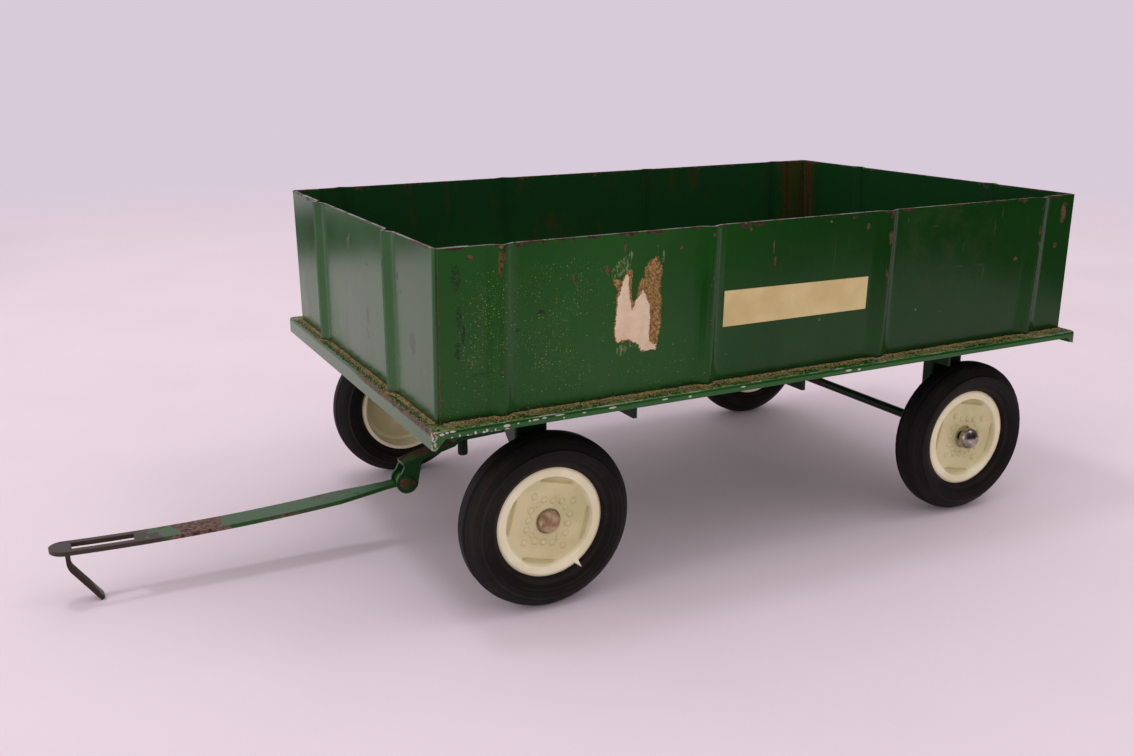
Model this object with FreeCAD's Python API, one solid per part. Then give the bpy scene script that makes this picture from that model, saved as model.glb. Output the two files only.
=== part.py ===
import FreeCAD, Part
import math
import os

# Toy barge wagon in pressed sheet steel: a shallow load box on a flat deck, a rear axle rod in a
# hanger, and a steering front truck with stub axles and a hinged drawbar.
# Millimetres. +X runs forward to the drawbar, +Y to the wagon's left, +Z up.
# The origin is on the ground, in the middle of the overall length and on the centre plane.

V = FreeCAD.Vector

# ---- driving dimensions -----------------------------------------------------------------------

deck_length = 228.0            # pressed deck pan, over its flanges
deck_width = 147.6
deck_top = 59.9                # height of the deck's upper face above the ground
deck_sheet = 1.0
deck_corner = 1.4              # vertical corner radius of the drawn pan
deck_edge = 0.9                # radius where the top turns down into the flanges
front_flange = 5.0             # depth of the front flange
rear_flange = 4.1
side_flange = 2.1              # depth of the side flanges
flange_run_out = 2.9           # length of the slope from a side flange to the front one
flange_end_land = 0.6          # the slopes start this far from the deck's ends

box_length = 221.2             # over the flat of the end panels, at the top edge
front_spread = 0.2             # the front panel stands this much further out at the deck
rear_spread = 1.6              # and so does the rear one, which leans forward
box_width_low = 137.2          # over the sides at the deck
side_flare = 2.0               # each side leans out by this much at the top
box_height = 45.3
box_sheet = 0.9
corner_bend = 1.4              # outer bend radius of the end panels
corner_return = 8.0            # length of the end panels' returns inside the sides
side_set_back = 0.8            # the sides' raw edges stop this far behind the end panels' faces

rib_width = 7.0                # V ribs pressed outwards, full height
rib_height = 2.0
side_rib_pitch = 62.5
side_rib_shift = -0.9          # the row of four stands this much behind the box's middle
end_rib_y = (-34.5, 34.5)

sill_x = (-57.2, 0.0, 57.2)    # cross sills under the deck, from the middle of the box
sill_width = 5.6               # angle sections: the flat under the deck
sill_depth = 4.5               # and the leg that hangs from its rear edge
sill_sheet = 1.2
sill_end_gap = 0.5             # from the sill's ends to the deck's side flanges

wheel_radius = 25.4            # two inch tyre
tyre_width = 12.4
tyre_shoulder = 23.9           # radius where the tread starts to round over
tread_flat = 1.6               # half the width of the flat of the tread
rim_radius = 16.1
ring_inner = 12.8              # the rim's raised ring, measured at the disc's face
disc_square = 11.3             # half the side of the disc's square
crescent_depth = 1.0
counterbore = 3.7
hub_radius = 4.7
rim_turns = {"front_left": 15, "front_right": 40, "rear_left": 12, "rear_right": 5}
tyre_step_radius = 21.5
wheel_track_half = 61.5        # centre plane of each wheel
axle_x = 77.6                  # front and rear axles, from the middle of the box
axle_radius = 1.59             # eighth inch rod
rod_reach = 4.6                # the rear rod ends this far outside the wheels' centre planes
cap_base = 3.6                 # the caps on its ends start this far outside them
cap_radius = 3.5
cap_skirt = 1.4
cap_dome = 2.4
stub_head_radius = 3.0         # stub axle: head inside the bracket leg
stub_head_depth = 1.4
stub_end_radius = 3.2          # and an end peened flat outside the rim
stub_end_inner = 2.35          # from the wheel's centre plane
stub_end_outer = 3.6
running_gap = 0.05             # radial clearance of every running fit
seat_gap = 0.02                # radial clearance of a fixed pin in its hole

bracket_sheet = 1.2
bracket_leg_y = 54.0           # outer face of the bracket legs
bracket_leg_depth = 4.6        # width of the flanges along the legs
bracket_beam_depth = 5.0       # depth of the flanges across the middle
bracket_gusset = (5.0, 4.5)    # slope between the two, across and down
bracket_lug = (3.5, 3.3, 1.3)  # ears ahead of the rear legs' tops: reach, depth, corner
rear_bracket_width = 13.0
front_bracket_width = 10.0
front_bracket_top = 54.0       # the front bracket turns below the pivot dish

dish_sheet = 1.0               # pivot dish between the deck and the front bracket
dish_floor = 11.0              # radii of its flat floor, mouth and brim
dish_mouth = 12.6
dish_brim = 16.0

king_radius = 1.3
king_head_radius = 2.6
king_head_height = 1.2
king_end_radius = 1.65
king_end_low = 24.9
king_collar_gap = 0.9          # from the thicker end up to the pole bracket's level run

pole_width = 6.4               # pole bracket strip
pole_sheet = 1.3
pole_run_height = 31.4         # underside of the level run
pole_tab_front = 3.6           # front edge of the top tab, from the king pin
pole_riser_x = -15.6           # rear face of the riser
pole_run = ((2.0, 30.7), (3.7, 29.2), (14.8, 26.5), (21.0, 24.9))   # its way down, (x, z)
clevis_x = 20.2                # drawbar rivet, ahead of the king pin
clevis_z = 19.7
clevis_ear_radius = 3.6
clevis_ear_inside = 2.2        # inner faces of the ears, from the centre plane
clevis_ear_root = ((-5.2, 26.7), (0.6, 25.2))   # where the ears leave the strip, (x, z)

drawbar_width = 8.4
drawbar_root_width = 4.2       # it narrows towards the rivet, between these distances from it
drawbar_taper = (7.0, 22.0)
drawbar_sheet = 1.3
drawbar_reach = 105.0          # from the rivet to the rounded tip
drawbar_sag = 2.2              # the strip is bowed down by this much
drawbar_tip_z = 17.1
drawbar_eye_radius = 2.7
rivet_radius = 1.35
rivet_head = (2.6, 1.9, 1.0)   # radii at the ear and outside, and height
slot_rear = 82.2               # slot in the strip, distances from the rivet
slot_front = 99.4
slot_width = 4.4
hook_width = 4.2
hook_drop = 3.6                # from the strip down to where the hook starts to sweep back
hook_bend = 0.9                # bend radii of its centre line
hook_sweep = 5.0
hook_lean = math.radians(35.0)

# ---- derived places ---------------------------------------------------------------------------

overall_front = axle_x + clevis_x + drawbar_reach
box_x = -(overall_front - deck_length / 2) / 2      # middle of the box in the part's frame
front_x = box_x + axle_x
rear_x = box_x - axle_x
pivot_x = front_x + clevis_x
deck_under = deck_top - deck_sheet
axle_z = wheel_radius


# ---- small helpers ----------------------------------------------------------------------------

def face(points):
    """A flat face inside a closed run of points."""
    return Part.Face(Part.makePolygon(list(points) + [points[0]]))


def prism(points, direction):
    """The closed run of points carried along one direction."""
    return face(points).extrude(direction)


def block(x0, x1, y0, y1, z0, z1):
    return Part.makeBox(x1 - x0, y1 - y0, z1 - z0, V(x0, y0, z0))


def rod(radius, start, end):
    """A round bar from one point to another."""
    run = end.sub(start)
    return Part.makeCylinder(radius, run.Length, start, run)


def dome(radius, height, base, direction):
    """A round head: the cap of a ball, `height` tall over a disc of `radius`."""
    ball = (radius ** 2 + height ** 2) / (2 * height)
    centre = base + direction * (height - ball)
    return Part.makeSphere(ball, centre).common(rod(radius, base, base + direction * height))


def mirror_y(shape):
    return shape.mirror(V(0, 0, 0), V(0, 1, 0))


def half_turn(shape, x):
    """A left wheel's shape turned about the upright through x, for the right wheel."""
    turned = shape.copy()
    turned.rotate(V(x, 0, 0), V(0, 0, 1), 180)
    return turned


def save(name, shape):
    """Write one solid as its own STEP file."""
    shape = shape.removeSplitter()
    solids = shape.Solids
    if len(solids) != 1 or not shape.isValid():
        raise ValueError("%s: %d solids, valid %s" % (name, len(solids), shape.isValid()))
    solids[0].exportStep("parts/%s.step" % name)
    print("%-24s %8.0f mm3  %4d faces" % (name, solids[0].Volume, len(solids[0].Faces)))


# ---- deck and load box ------------------------------------------------------------------------

def pan(length, width, corner, edge, height):
    """A drawn pan's outer body, top at deck_top, with round corners and a round top edge."""
    x0, x1 = box_x - length / 2, box_x + length / 2
    body = block(x0, x1, -width / 2, width / 2, deck_top - height, deck_top)
    upright = [e for e in body.Edges if abs(e.tangentAt(e.FirstParameter).z) > 0.9]
    body = body.makeFillet(corner, upright)
    rim = [e for e in body.Edges if min(v.Z for v in e.Vertexes) > deck_top - 0.01]
    return body.makeFillet(edge, rim)


def make_deck():
    """Deck pan: deep flanges at the ends, shallow ones along the sides, and a king pin hole."""
    outer = pan(deck_length, deck_width, deck_corner, deck_edge, front_flange)
    inner = pan(deck_length - 2 * deck_sheet, deck_width - 2 * deck_sheet,
                deck_corner - deck_sheet, deck_edge / 3, front_flange + 5)
    inner.translate(V(0, 0, -deck_sheet))
    deck = outer.cut(inner)
    half = deck_length / 2
    rear_low, front_low = deck_top - rear_flange, deck_top - front_flange
    high = deck_top - side_flange
    deck = deck.cut(block(box_x - half, box_x - half + 5, -deck_width, deck_width,
                          front_low - 1, rear_low))
    rear_run = flange_run_out * (high - rear_low) / (high - front_low)
    reach = half - flange_end_land
    relief = [(-half, front_low - 1), (-half, rear_low), (-reach, rear_low),
              (-reach + rear_run, high), (reach - flange_run_out, high), (reach, front_low),
              (reach, front_low - 1)]
    band = deck_width / 2 - deck_corner
    cut = prism([V(box_x + x, band, z) for x, z in relief], V(0, 2 * deck_corner, 0))
    deck = deck.cut([cut, mirror_y(cut)])
    hole = rod(king_radius + seat_gap, V(front_x, 0, deck_under - 1), V(front_x, 0, deck_top + 1))
    return deck.cut(hole)


def ribbed_line(start, end, ribs):
    """Outer and inner lines of a sheet with V ribs, as (distance along, distance outwards)."""
    slope = math.atan2(rib_height, rib_width / 2)
    shift = box_sheet * math.tan(slope / 2)
    outer, inner = [(start, 0.0)], [(start, -box_sheet)]
    for s in ribs:
        outer += [(s - rib_width / 2, 0.0), (s, rib_height), (s + rib_width / 2, 0.0)]
        inner += [(s - rib_width / 2 + shift, -box_sheet),
                  (s, rib_height - box_sheet / math.cos(slope)),
                  (s + rib_width / 2 - shift, -box_sheet)]
    return outer + [(end, 0.0)], inner + [(end, -box_sheet)]


def make_side():
    """Left side of the box: a flat sheet with V ribs and raw ends, leaning out to the top."""
    ribs = [side_rib_shift + side_rib_pitch * (i - 1.5) for i in range(4)]
    half = box_length / 2 - side_set_back
    wires = []
    for low in (1, 0):
        outer, inner = ribbed_line(-half - low * rear_spread, half + low * front_spread, ribs)
        ring = outer + inner[::-1]
        y = box_width_low / 2 + (1 - low) * side_flare
        z = deck_top + (1 - low) * box_height
        wires.append(Part.makePolygon([V(box_x + s, y + n, z) for s, n in ring + ring[:1]]))
    return Part.makeLoft(wires, True, True)


def end_outline(x_face, half_width, z):
    """Plan outline of an end panel: ribbed face, two bends, and returns inside the sides."""
    bend = corner_bend
    root = half_width - bend
    outer, inner = ribbed_line(-root, root, end_rib_y)

    def at(s, n):
        return V(x_face + n, s, z)

    def side(sign):
        """Outer bend, return and inner bend at one end, from the outer face to the inner face."""
        centre = (x_face - bend, sign * root)
        far = x_face - bend - corner_return
        r_in = bend - box_sheet
        mid = math.sqrt(0.5)
        return [
            Part.Arc(V(x_face, sign * root, z),
                     V(centre[0] + bend * mid, centre[1] + sign * bend * mid, z),
                     V(centre[0], sign * half_width, z)).toShape(),
            Part.makeLine(V(centre[0], sign * half_width, z), V(far, sign * half_width, z)),
            Part.makeLine(V(far, sign * half_width, z), V(far, sign * (half_width - box_sheet), z)),
            Part.makeLine(V(far, sign * (half_width - box_sheet), z),
                          V(centre[0], sign * (half_width - box_sheet), z)),
            Part.Arc(V(centre[0], sign * (half_width - box_sheet), z),
                     V(centre[0] + r_in * mid, centre[1] + sign * r_in * mid, z),
                     V(x_face - box_sheet, sign * root, z)).toShape()]

    def lines(points):
        return [Part.makeLine(at(*a), at(*b)) for a, b in zip(points, points[1:])]

    return Part.Wire(Part.__sortEdges__(lines(outer) + side(1) + lines(inner[::-1]) + side(-1)))


def make_end_panel(spread):
    """An end panel facing forward, built about the box's middle, and set out at the deck."""
    inside = box_width_low / 2 - box_sheet
    low = end_outline(box_length / 2 + spread, inside, deck_top)
    high = end_outline(box_length / 2, inside + side_flare, deck_top + box_height)
    return Part.makeLoft([low, high], True, True)


def make_sill(x):
    """Cross sill: an angle under the deck, its leg at the back and bent down with a round."""
    half = deck_width / 2 - deck_sheet - sill_end_gap
    rear, front = x - sill_width / 2, x + sill_width / 2
    low, web = deck_under - sill_depth, deck_under - sill_sheet
    section = [(rear, low), (rear, deck_under), (front, deck_under), (front, web),
               (rear + sill_sheet, web), (rear + sill_sheet, low)]
    sill = prism([V(a, -half, z) for a, z in section], V(0, 2 * half, 0))
    bend = [e for e in sill.Edges
            if all(abs(v.X - rear - sill_sheet) < 0.01 and abs(v.Z - web) < 0.01
                   for v in e.Vertexes)]
    return sill.makeFillet(sill_sheet / 2, bend)


# ---- axle brackets ----------------------------------------------------------------------------

def make_axle_bracket(x, top, width, pin_radius):
    """Pressed bracket: a channel beam under the deck whose ends turn down as legs to the axle.

    The arch outline is carried across the width, rounded along its outer bends, and hollowed so
    that flanges stand on the beam and on both legs. The legs end round about the axle.
    """
    leg = bracket_leg_y
    inside = leg - bracket_leg_depth
    beam = top - bracket_beam_depth
    foot = axle_z - width / 2
    across, down = bracket_gusset
    arch = [(-leg, foot), (-leg, top), (leg, top), (leg, foot), (inside, foot),
            (inside, beam - down), (inside - across, beam), (-inside + across, beam),
            (-inside, beam - down), (-inside, foot)]
    body = prism([V(x - width / 2, y, z) for y, z in arch], V(width, 0, 0))
    bends = [e for e in body.Edges
             if (all(abs(abs(v.Y) - leg) < 0.01 for v in e.Vertexes)
                 and abs(e.tangentAt(e.FirstParameter).y) < 0.1
                 and min(v.Z for v in e.Vertexes) > foot - 0.01
                 and max(v.Z for v in e.Vertexes) > foot + 0.01)
             or all(abs(v.Z - top) < 0.01 for v in e.Vertexes)]
    body = body.makeFillet(bracket_sheet, bends)
    hollow = block(x - width / 2 + bracket_sheet, x + width / 2 - bracket_sheet,
                   -leg + bracket_sheet, leg - bracket_sheet, foot - 5, top - bracket_sheet)
    body = body.cut(hollow)
    shank = Part.makeBox(width, 4 * leg, top - axle_z + 1, V(x - width / 2, -2 * leg, axle_z))
    round_end = rod(width / 2, V(x, -2 * leg, axle_z), V(x, 2 * leg, axle_z))
    body = body.common(shank.fuse(round_end))
    return body.cut(rod(pin_radius + seat_gap, V(x, -2 * leg, axle_z), V(x, 2 * leg, axle_z)))


def make_rear_bracket():
    """Rear axle bracket: each leg's outer face has an ear ahead of it, against the deck."""
    body = make_axle_bracket(rear_x, deck_under, rear_bracket_width, axle_radius)
    reach, depth, corner = bracket_lug
    root = rear_x + rear_bracket_width / 2
    outline = [(root - 1, deck_under), (root + reach, deck_under),
               (root + reach, deck_under - depth + corner),
               (root + reach - corner, deck_under - depth), (root - 1, deck_under - depth)]
    inner = bracket_leg_y - bracket_sheet
    ear = prism([V(x, inner, z) for x, z in outline], V(0, bracket_sheet, 0))
    flat = block(root - 1, root + reach, inner - bracket_sheet, inner, deck_under - bracket_sheet,
                 deck_under)
    return body.fuse([ear, mirror_y(ear), flat, mirror_y(flat)])


def make_front_bracket():
    """Front axle bracket: notched at the back for the pole bracket, with its king pin hole."""
    body = make_axle_bracket(front_x, front_bracket_top, front_bracket_width, axle_radius)
    notch = pole_width / 2 + 0.6
    body = body.cut(block(front_x - front_bracket_width, front_x - 0.5, -notch, notch,
                          front_bracket_top - bracket_beam_depth - 1,
                          front_bracket_top - bracket_sheet))
    hole = rod(king_radius + running_gap, V(front_x, 0, 40), V(front_x, 0, 60))
    return body.cut(hole)


# ---- steering pivot ---------------------------------------------------------------------------

def make_pivot_dish():
    """Round dish between the deck and the turning bracket, pressed from sheet."""
    depth = deck_under - front_bracket_top
    bore = king_radius + seat_gap
    wall = dish_sheet * 0.65       # the cone's wall, drawn thinner than the sheet
    profile = [(bore, 0), (dish_floor, 0), (dish_mouth, depth - dish_sheet),
               (dish_brim, depth - dish_sheet), (dish_brim, depth), (dish_mouth - wall, depth),
               (dish_floor - wall, dish_sheet), (bore, dish_sheet)]
    ring = [V(front_x + r, 0, front_bracket_top + h) for r, h in profile]
    return face(ring).revolve(V(front_x, 0, 0), V(0, 0, 1), 360)


def make_king_pin():
    """Long rivet: round head on the deck, plain shank, thicker end below the pole bracket."""
    chamfer = 0.4
    collar_top = pole_run_height - king_collar_gap
    profile = [(0, king_end_low), (king_end_radius - chamfer, king_end_low),
               (king_end_radius, king_end_low + chamfer), (king_end_radius, collar_top),
               (king_radius, collar_top), (king_radius, deck_top), (0, deck_top)]
    ring = [V(front_x + r, 0, z) for r, z in profile]
    pin = face(ring).revolve(V(front_x, 0, 0), V(0, 0, 1), 360)
    return pin.fuse(dome(king_head_radius, king_head_height, V(front_x, 0, deck_top),
                         V(0, 0, 1)))


# ---- pole bracket and drawbar -----------------------------------------------------------------

def offset_line(points, distance):
    """A run of (x, z) points moved sideways by a distance, to the left of its direction."""
    moved = []
    for i, (x, z) in enumerate(points):
        before = points[max(i - 1, 0)]
        after = points[min(i + 1, len(points) - 1)]
        a = math.atan2(z - before[1], x - before[0]) if i > 0 else None
        b = math.atan2(after[1] - z, after[0] - x) if i < len(points) - 1 else None
        a = b if a is None else a
        b = a if b is None else b
        turn = (b - a + math.pi) % (2 * math.pi) - math.pi
        middle = a + turn / 2
        length = distance / math.cos(turn / 2)
        moved.append((x - length * math.sin(middle), z + length * math.cos(middle)))
    return moved


def make_pole_bracket():
    """Strip folded into a drop bracket, with two ears that hold the drawbar rivet.

    The top tab lies under the front bracket's web, the riser comes down behind it, the lower run
    goes forward past the king pin and slopes down to the clevis.
    """
    tab_top = front_bracket_top - bracket_sheet
    line = [(front_x + pole_tab_front, tab_top), (front_x + pole_riser_x, tab_top),
            (front_x + pole_riser_x, pole_run_height)]
    line += [(front_x + x, z) for x, z in pole_run]
    inside = offset_line(line, pole_sheet)
    ring = [V(x, -pole_width / 2, z) for x, z in line + inside[::-1]]
    strip = prism(ring, V(0, pole_width, 0))
    ear_sheet = pole_width / 2 - clevis_ear_inside
    eye = ((clevis_ear_radius, clevis_z), (-clevis_ear_radius, clevis_z))
    ear = prism([V(pivot_x + x, clevis_ear_inside, z) for x, z in clevis_ear_root + eye],
                V(0, ear_sheet, 0))
    ear = ear.fuse(rod(clevis_ear_radius, V(pivot_x, clevis_ear_inside, clevis_z),
                       V(pivot_x, pole_width / 2, clevis_z)))
    body = strip.fuse([ear, mirror_y(ear)])
    body = body.cut(rod(rivet_radius + seat_gap, V(pivot_x, -20, clevis_z),
                        V(pivot_x, 20, clevis_z)))
    hole = rod(king_radius + running_gap, V(front_x, 0, 20), V(front_x, 0, 60))
    return body.cut(hole)


def make_drawbar_rivet():
    """Rivet through the clevis ears, with a low head outside each."""
    half = pole_width / 2
    pin = rod(rivet_radius, V(pivot_x, -half, clevis_z), V(pivot_x, half, clevis_z))
    heads = []
    for sign in (-1, 1):
        heads.append(Part.makeCone(*rivet_head, V(pivot_x, sign * half, clevis_z),
                                   V(0, sign, 0)))
    return pin.fuse(heads)


def drawbar_arc(offset):
    """The strip's bowed line in side view, moved up or down by an offset."""
    return Part.Arc(V(pivot_x, 0, clevis_z - 0.2 + offset),
                    V(pivot_x + drawbar_reach / 2,
                      0, (clevis_z + drawbar_tip_z) / 2 - drawbar_sag + offset),
                    V(pivot_x + drawbar_reach, 0, drawbar_tip_z + offset))


def make_drawbar():
    """Flat strip with an eye at the rivet, a round tip, a slot, and the hook punched from it."""
    half = drawbar_sheet / 2
    low, high = drawbar_arc(-half), drawbar_arc(half)
    section = Part.Wire([low.toShape(),
                         Part.makeLine(low.toShape().Vertexes[1].Point,
                                       high.toShape().Vertexes[1].Point),
                         high.toShape(),
                         Part.makeLine(high.toShape().Vertexes[0].Point,
                                       low.toShape().Vertexes[0].Point)])
    strip = Part.Face(section).extrude(V(0, drawbar_width, 0))
    strip.translate(V(0, -drawbar_width / 2, 0))
    tip = pivot_x + drawbar_reach
    r, root = drawbar_width / 2, drawbar_root_width / 2
    near, far = drawbar_taper
    edge = [(0, root), (near, root), (far, r), (drawbar_reach - r, r)]
    ring = edge + [(x, -y) for x, y in edge[::-1]]
    plan = prism([V(pivot_x + x, y, 0) for x, y in ring], V(0, 0, 40)).fuse(
        Part.makeCylinder(r, 40, V(tip - r, 0, 0)))
    plan = plan.cut(block(pivot_x + slot_rear, pivot_x + slot_front,
                          -slot_width / 2, slot_width / 2, 0, 40))
    strip = strip.common(plan)
    eye = rod(drawbar_eye_radius, V(pivot_x, -root, clevis_z), V(pivot_x, root, clevis_z))
    body = strip.fuse(eye)
    body = body.cut(rod(rivet_radius + running_gap, V(pivot_x, -20, clevis_z),
                        V(pivot_x, 20, clevis_z)))
    return body.fuse(make_hook())


def make_hook():
    """The tongue from the slot, turned down and swept back so that its tip meets the floor."""
    root_x = pivot_x + slot_front
    root_z = drawbar_tip_z - 0.35
    lean, drop, bend, sweep = hook_lean, hook_drop, hook_bend, hook_sweep
    lift = drawbar_sheet / 2 * math.sin(lean)
    x, z = root_x, root_z
    path = [Part.makeLine(V(x - 0.4, 0, z), V(x, 0, z))]
    path.append(Part.Arc(V(x, 0, z), V(x + bend * math.sin(math.pi / 4), 0,
                                        z - bend + bend * math.cos(math.pi / 4)),
                         V(x + bend, 0, z - bend)).toShape())
    x, z = x + bend, z - bend
    path.append(Part.makeLine(V(x, 0, z), V(x, 0, z - drop + bend)))
    z = z - drop + bend
    path.append(Part.Arc(V(x, 0, z),
                         V(x - sweep + sweep * math.cos(lean / 2), 0,
                           z - sweep * math.sin(lean / 2)),
                         V(x - sweep + sweep * math.cos(lean), 0,
                           z - sweep * math.sin(lean))).toShape())
    x, z = x - sweep + sweep * math.cos(lean), z - sweep * math.sin(lean)
    run = (z - lift) / math.cos(lean)
    path.append(Part.makeLine(V(x, 0, z), V(x - run * math.sin(lean), 0, lift)))
    wire = Part.Wire(path)
    start = path[0].Vertexes[0].Point
    h, w = drawbar_sheet / 2, hook_width / 2
    section = Part.makePolygon([V(start.x, -w, start.z - h), V(start.x, w, start.z - h),
                                V(start.x, w, start.z + h), V(start.x, -w, start.z + h),
                                V(start.x, -w, start.z - h)])
    return wire.makePipeShell([section], True, False, 2)


# ---- axles and wheels -------------------------------------------------------------------------

def make_rear_axle():
    half = wheel_track_half + rod_reach
    return rod(axle_radius, V(rear_x, -half, axle_z), V(rear_x, half, axle_z))


def make_axle_cap():
    """Domed push-on cap over the left end of the rear axle."""
    base = V(rear_x, wheel_track_half + cap_base, axle_z)
    brim = base + V(0, cap_skirt, 0)
    body = rod(cap_radius, base, brim).fuse(dome(cap_radius, cap_dome, brim, V(0, 1, 0)))
    rod_end = V(rear_x, wheel_track_half + rod_reach, axle_z)
    return body.cut(rod(axle_radius + seat_gap, base - V(0, 1, 0), rod_end))


def make_stub_axle():
    """Left front stub: a rivet through the bracket leg, headed inside and peened flat outside."""
    leg_face = bracket_leg_y - bracket_sheet
    near = wheel_track_half + stub_end_inner
    far = wheel_track_half + stub_end_outer
    chamfer = 0.3
    profile = [(0, leg_face - stub_head_depth), (stub_head_radius, leg_face - stub_head_depth),
               (stub_head_radius, leg_face), (axle_radius, leg_face), (axle_radius, near),
               (stub_end_radius, near), (stub_end_radius, far - chamfer),
               (stub_end_radius - chamfer, far), (0, far)]
    ring = [V(front_x, y, axle_z + r) for r, y in profile]
    return face(ring).revolve(V(front_x, 0, axle_z), V(0, 1, 0), 360)


def wheel_profile(points, x):
    """A closed (radius, distance outwards from the wheel's centre plane) run, turned about y."""
    ring = [V(x, wheel_track_half + a, axle_z + r) for r, a in points]
    return face(ring).revolve(V(x, 0, axle_z), V(0, 1, 0), 360)


def make_rim(x, turn):
    """Moulded rim: a raised ring, and a set-back disc that is square with round corners.

    Where the square's flats fall short of the ring, four crescents are sunk between them. The
    hub stands out behind the disc. `turn` is how far the pattern has rolled round the axle.
    """
    bore = axle_radius + running_gap
    ring_face, disc_face = 3.4, 2.2        # distances outwards from the wheel's centre plane
    hub_floor, disc_back = 1.3, 0.4
    hub_end, seat_end = -5.6, -4.8
    points = [(rim_radius, seat_end), (rim_radius, ring_face), (ring_inner + 0.6, ring_face),
              (ring_inner, disc_face), (counterbore, disc_face), (counterbore, hub_floor),
              (bore, hub_floor), (bore, hub_end), (hub_radius, hub_end),
              (hub_radius, disc_back), (ring_inner + 0.7, disc_back),
              (ring_inner + 1.3, seat_end)]
    rim = wheel_profile(points, x)
    sunk = rod(ring_inner, V(x, wheel_track_half + disc_face - crescent_depth, axle_z),
               V(x, wheel_track_half + disc_face + 1, axle_z))
    square = block(x - disc_square, x + disc_square, 0, 2 * wheel_track_half,
                   axle_z - disc_square, axle_z + disc_square)
    rim = rim.cut(sunk.cut(square))
    rim.rotate(V(x, 0, axle_z), V(0, 1, 0), turn)
    return rim


def make_tyre(x):
    """Solid rubber tyre: bulged sidewalls up to a step, sloping shoulders and a crowned tread."""
    half = tyre_width / 2
    inner_bead, outer_bead = -4.8, 3.4     # where the beads meet the rim, from the middle
    step = [(19.0, half - 0.1), (tyre_step_radius, half), (tyre_step_radius + 0.4, half - 0.6),
            (tyre_shoulder, half - 2.0), (wheel_radius, tread_flat)]
    inner = [(r, -a) for r, a in step]
    return wheel_profile([(rim_radius, inner_bead)] + inner + step[::-1]
                         + [(rim_radius, outer_bead)], x)


# ---- build ------------------------------------------------------------------------------------

def main():
    os.makedirs("parts", exist_ok=True)
    save("deck", make_deck())
    side = make_side()
    save("box_side_left", side)
    save("box_side_right", mirror_y(side))
    front = make_end_panel(front_spread)
    rear = make_end_panel(rear_spread).mirror(V(0, 0, 0), V(1, 0, 0))
    for name, panel in (("box_front", front), ("box_rear", rear)):
        panel.translate(V(box_x, 0, 0))
        save(name, panel)
    for name, x in zip(("cross_sill_rear", "cross_sill_middle", "cross_sill_front"), sill_x):
        save(name, make_sill(box_x + x))
    save("rear_axle_bracket", make_rear_bracket())
    save("rear_axle", make_rear_axle())
    cap = make_axle_cap()
    save("axle_cap_left", cap)
    save("axle_cap_right", mirror_y(cap))
    save("pivot_dish", make_pivot_dish())
    save("king_pin", make_king_pin())
    save("front_axle_bracket", make_front_bracket())
    stub = make_stub_axle()
    save("stub_axle_left", stub)
    save("stub_axle_right", mirror_y(stub))
    save("pole_bracket", make_pole_bracket())
    save("drawbar_rivet", make_drawbar_rivet())
    save("drawbar", make_drawbar())
    for end, x in (("front", front_x), ("rear", rear_x)):
        tyre = make_tyre(x)
        save("rim_%s_left" % end, make_rim(x, -rim_turns[end + "_left"]))
        save("rim_%s_right" % end, half_turn(make_rim(x, -rim_turns[end + "_right"]), x))
        save("tyre_%s_left" % end, tyre)
        save("tyre_%s_right" % end, half_turn(tyre, x))


main()
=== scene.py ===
# %% [markdown]
# # A toy barge wagon, dressed in Blender
#
# The wagon is a pressed steel toy: a shallow green box on a flat deck, four rubber tyred
# wheels with moulded plastic rims, and a hinged drawbar with a hook. Every sheet metal part
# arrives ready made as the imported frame. This file gives those parts their finish, and
# models what is finer than sheet metal: tyre grooves, moulded rims, paper labels and dust.
#
# Read it from top to bottom. Each step first says what the thing is, and then makes it.

import math

import bpy
import numpy as np
from mathutils import Matrix, Vector


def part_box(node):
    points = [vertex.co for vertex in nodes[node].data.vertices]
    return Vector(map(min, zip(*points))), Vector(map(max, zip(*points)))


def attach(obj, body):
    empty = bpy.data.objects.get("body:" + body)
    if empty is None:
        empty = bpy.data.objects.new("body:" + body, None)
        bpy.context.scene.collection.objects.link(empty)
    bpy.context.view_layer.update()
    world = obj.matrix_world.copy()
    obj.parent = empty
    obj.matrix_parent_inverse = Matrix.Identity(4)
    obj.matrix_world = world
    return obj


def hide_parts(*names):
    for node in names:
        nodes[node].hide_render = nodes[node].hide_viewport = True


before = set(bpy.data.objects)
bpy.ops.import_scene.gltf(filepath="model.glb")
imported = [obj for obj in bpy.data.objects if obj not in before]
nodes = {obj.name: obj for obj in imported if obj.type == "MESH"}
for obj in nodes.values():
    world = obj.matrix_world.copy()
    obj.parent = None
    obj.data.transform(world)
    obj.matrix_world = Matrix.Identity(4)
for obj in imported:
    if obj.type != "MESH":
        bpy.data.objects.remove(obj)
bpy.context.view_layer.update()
MM = 0.001

# %% [markdown]
# ## Where things are
#
# Positions come from the frame. The box's left side is a flat sheet that leans out a little
# to its top edge and has four V ribs pressed into it. Paper, dust and worn paint follow that
# sheet, so its plane is worked out once here, from the sheet's own box.

# %% Places read from the frame
rib_height = 2 * MM
side_flare = 2 * MM
rib_half = 3.5 * MM

side_low, side_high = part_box("box_side_left")
deck_low, deck_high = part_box("deck")

deck_top = deck_high.z
box_top = side_high.z
front_face_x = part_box("box_front")[1].x - rib_height
rear_face_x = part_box("box_rear")[0].x + rib_height
front_spread, rear_spread = 0.2 * MM, 1.6 * MM
box_mid_x = (front_face_x - front_spread + rear_face_x + rear_spread) / 2
face_y_top = side_high.y - rib_height
face_y_low = face_y_top - side_flare
rib_x = [box_mid_x + v * MM for v in (-94.65, -32.15, 30.35, 92.85)]
rib_y = [-34.5 * MM, 34.5 * MM]


def side_y(z):
    """The flat of the left side at height z: a straight line from deck to top edge."""
    return face_y_low + side_flare * (z - deck_top) / (box_top - deck_top)


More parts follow.
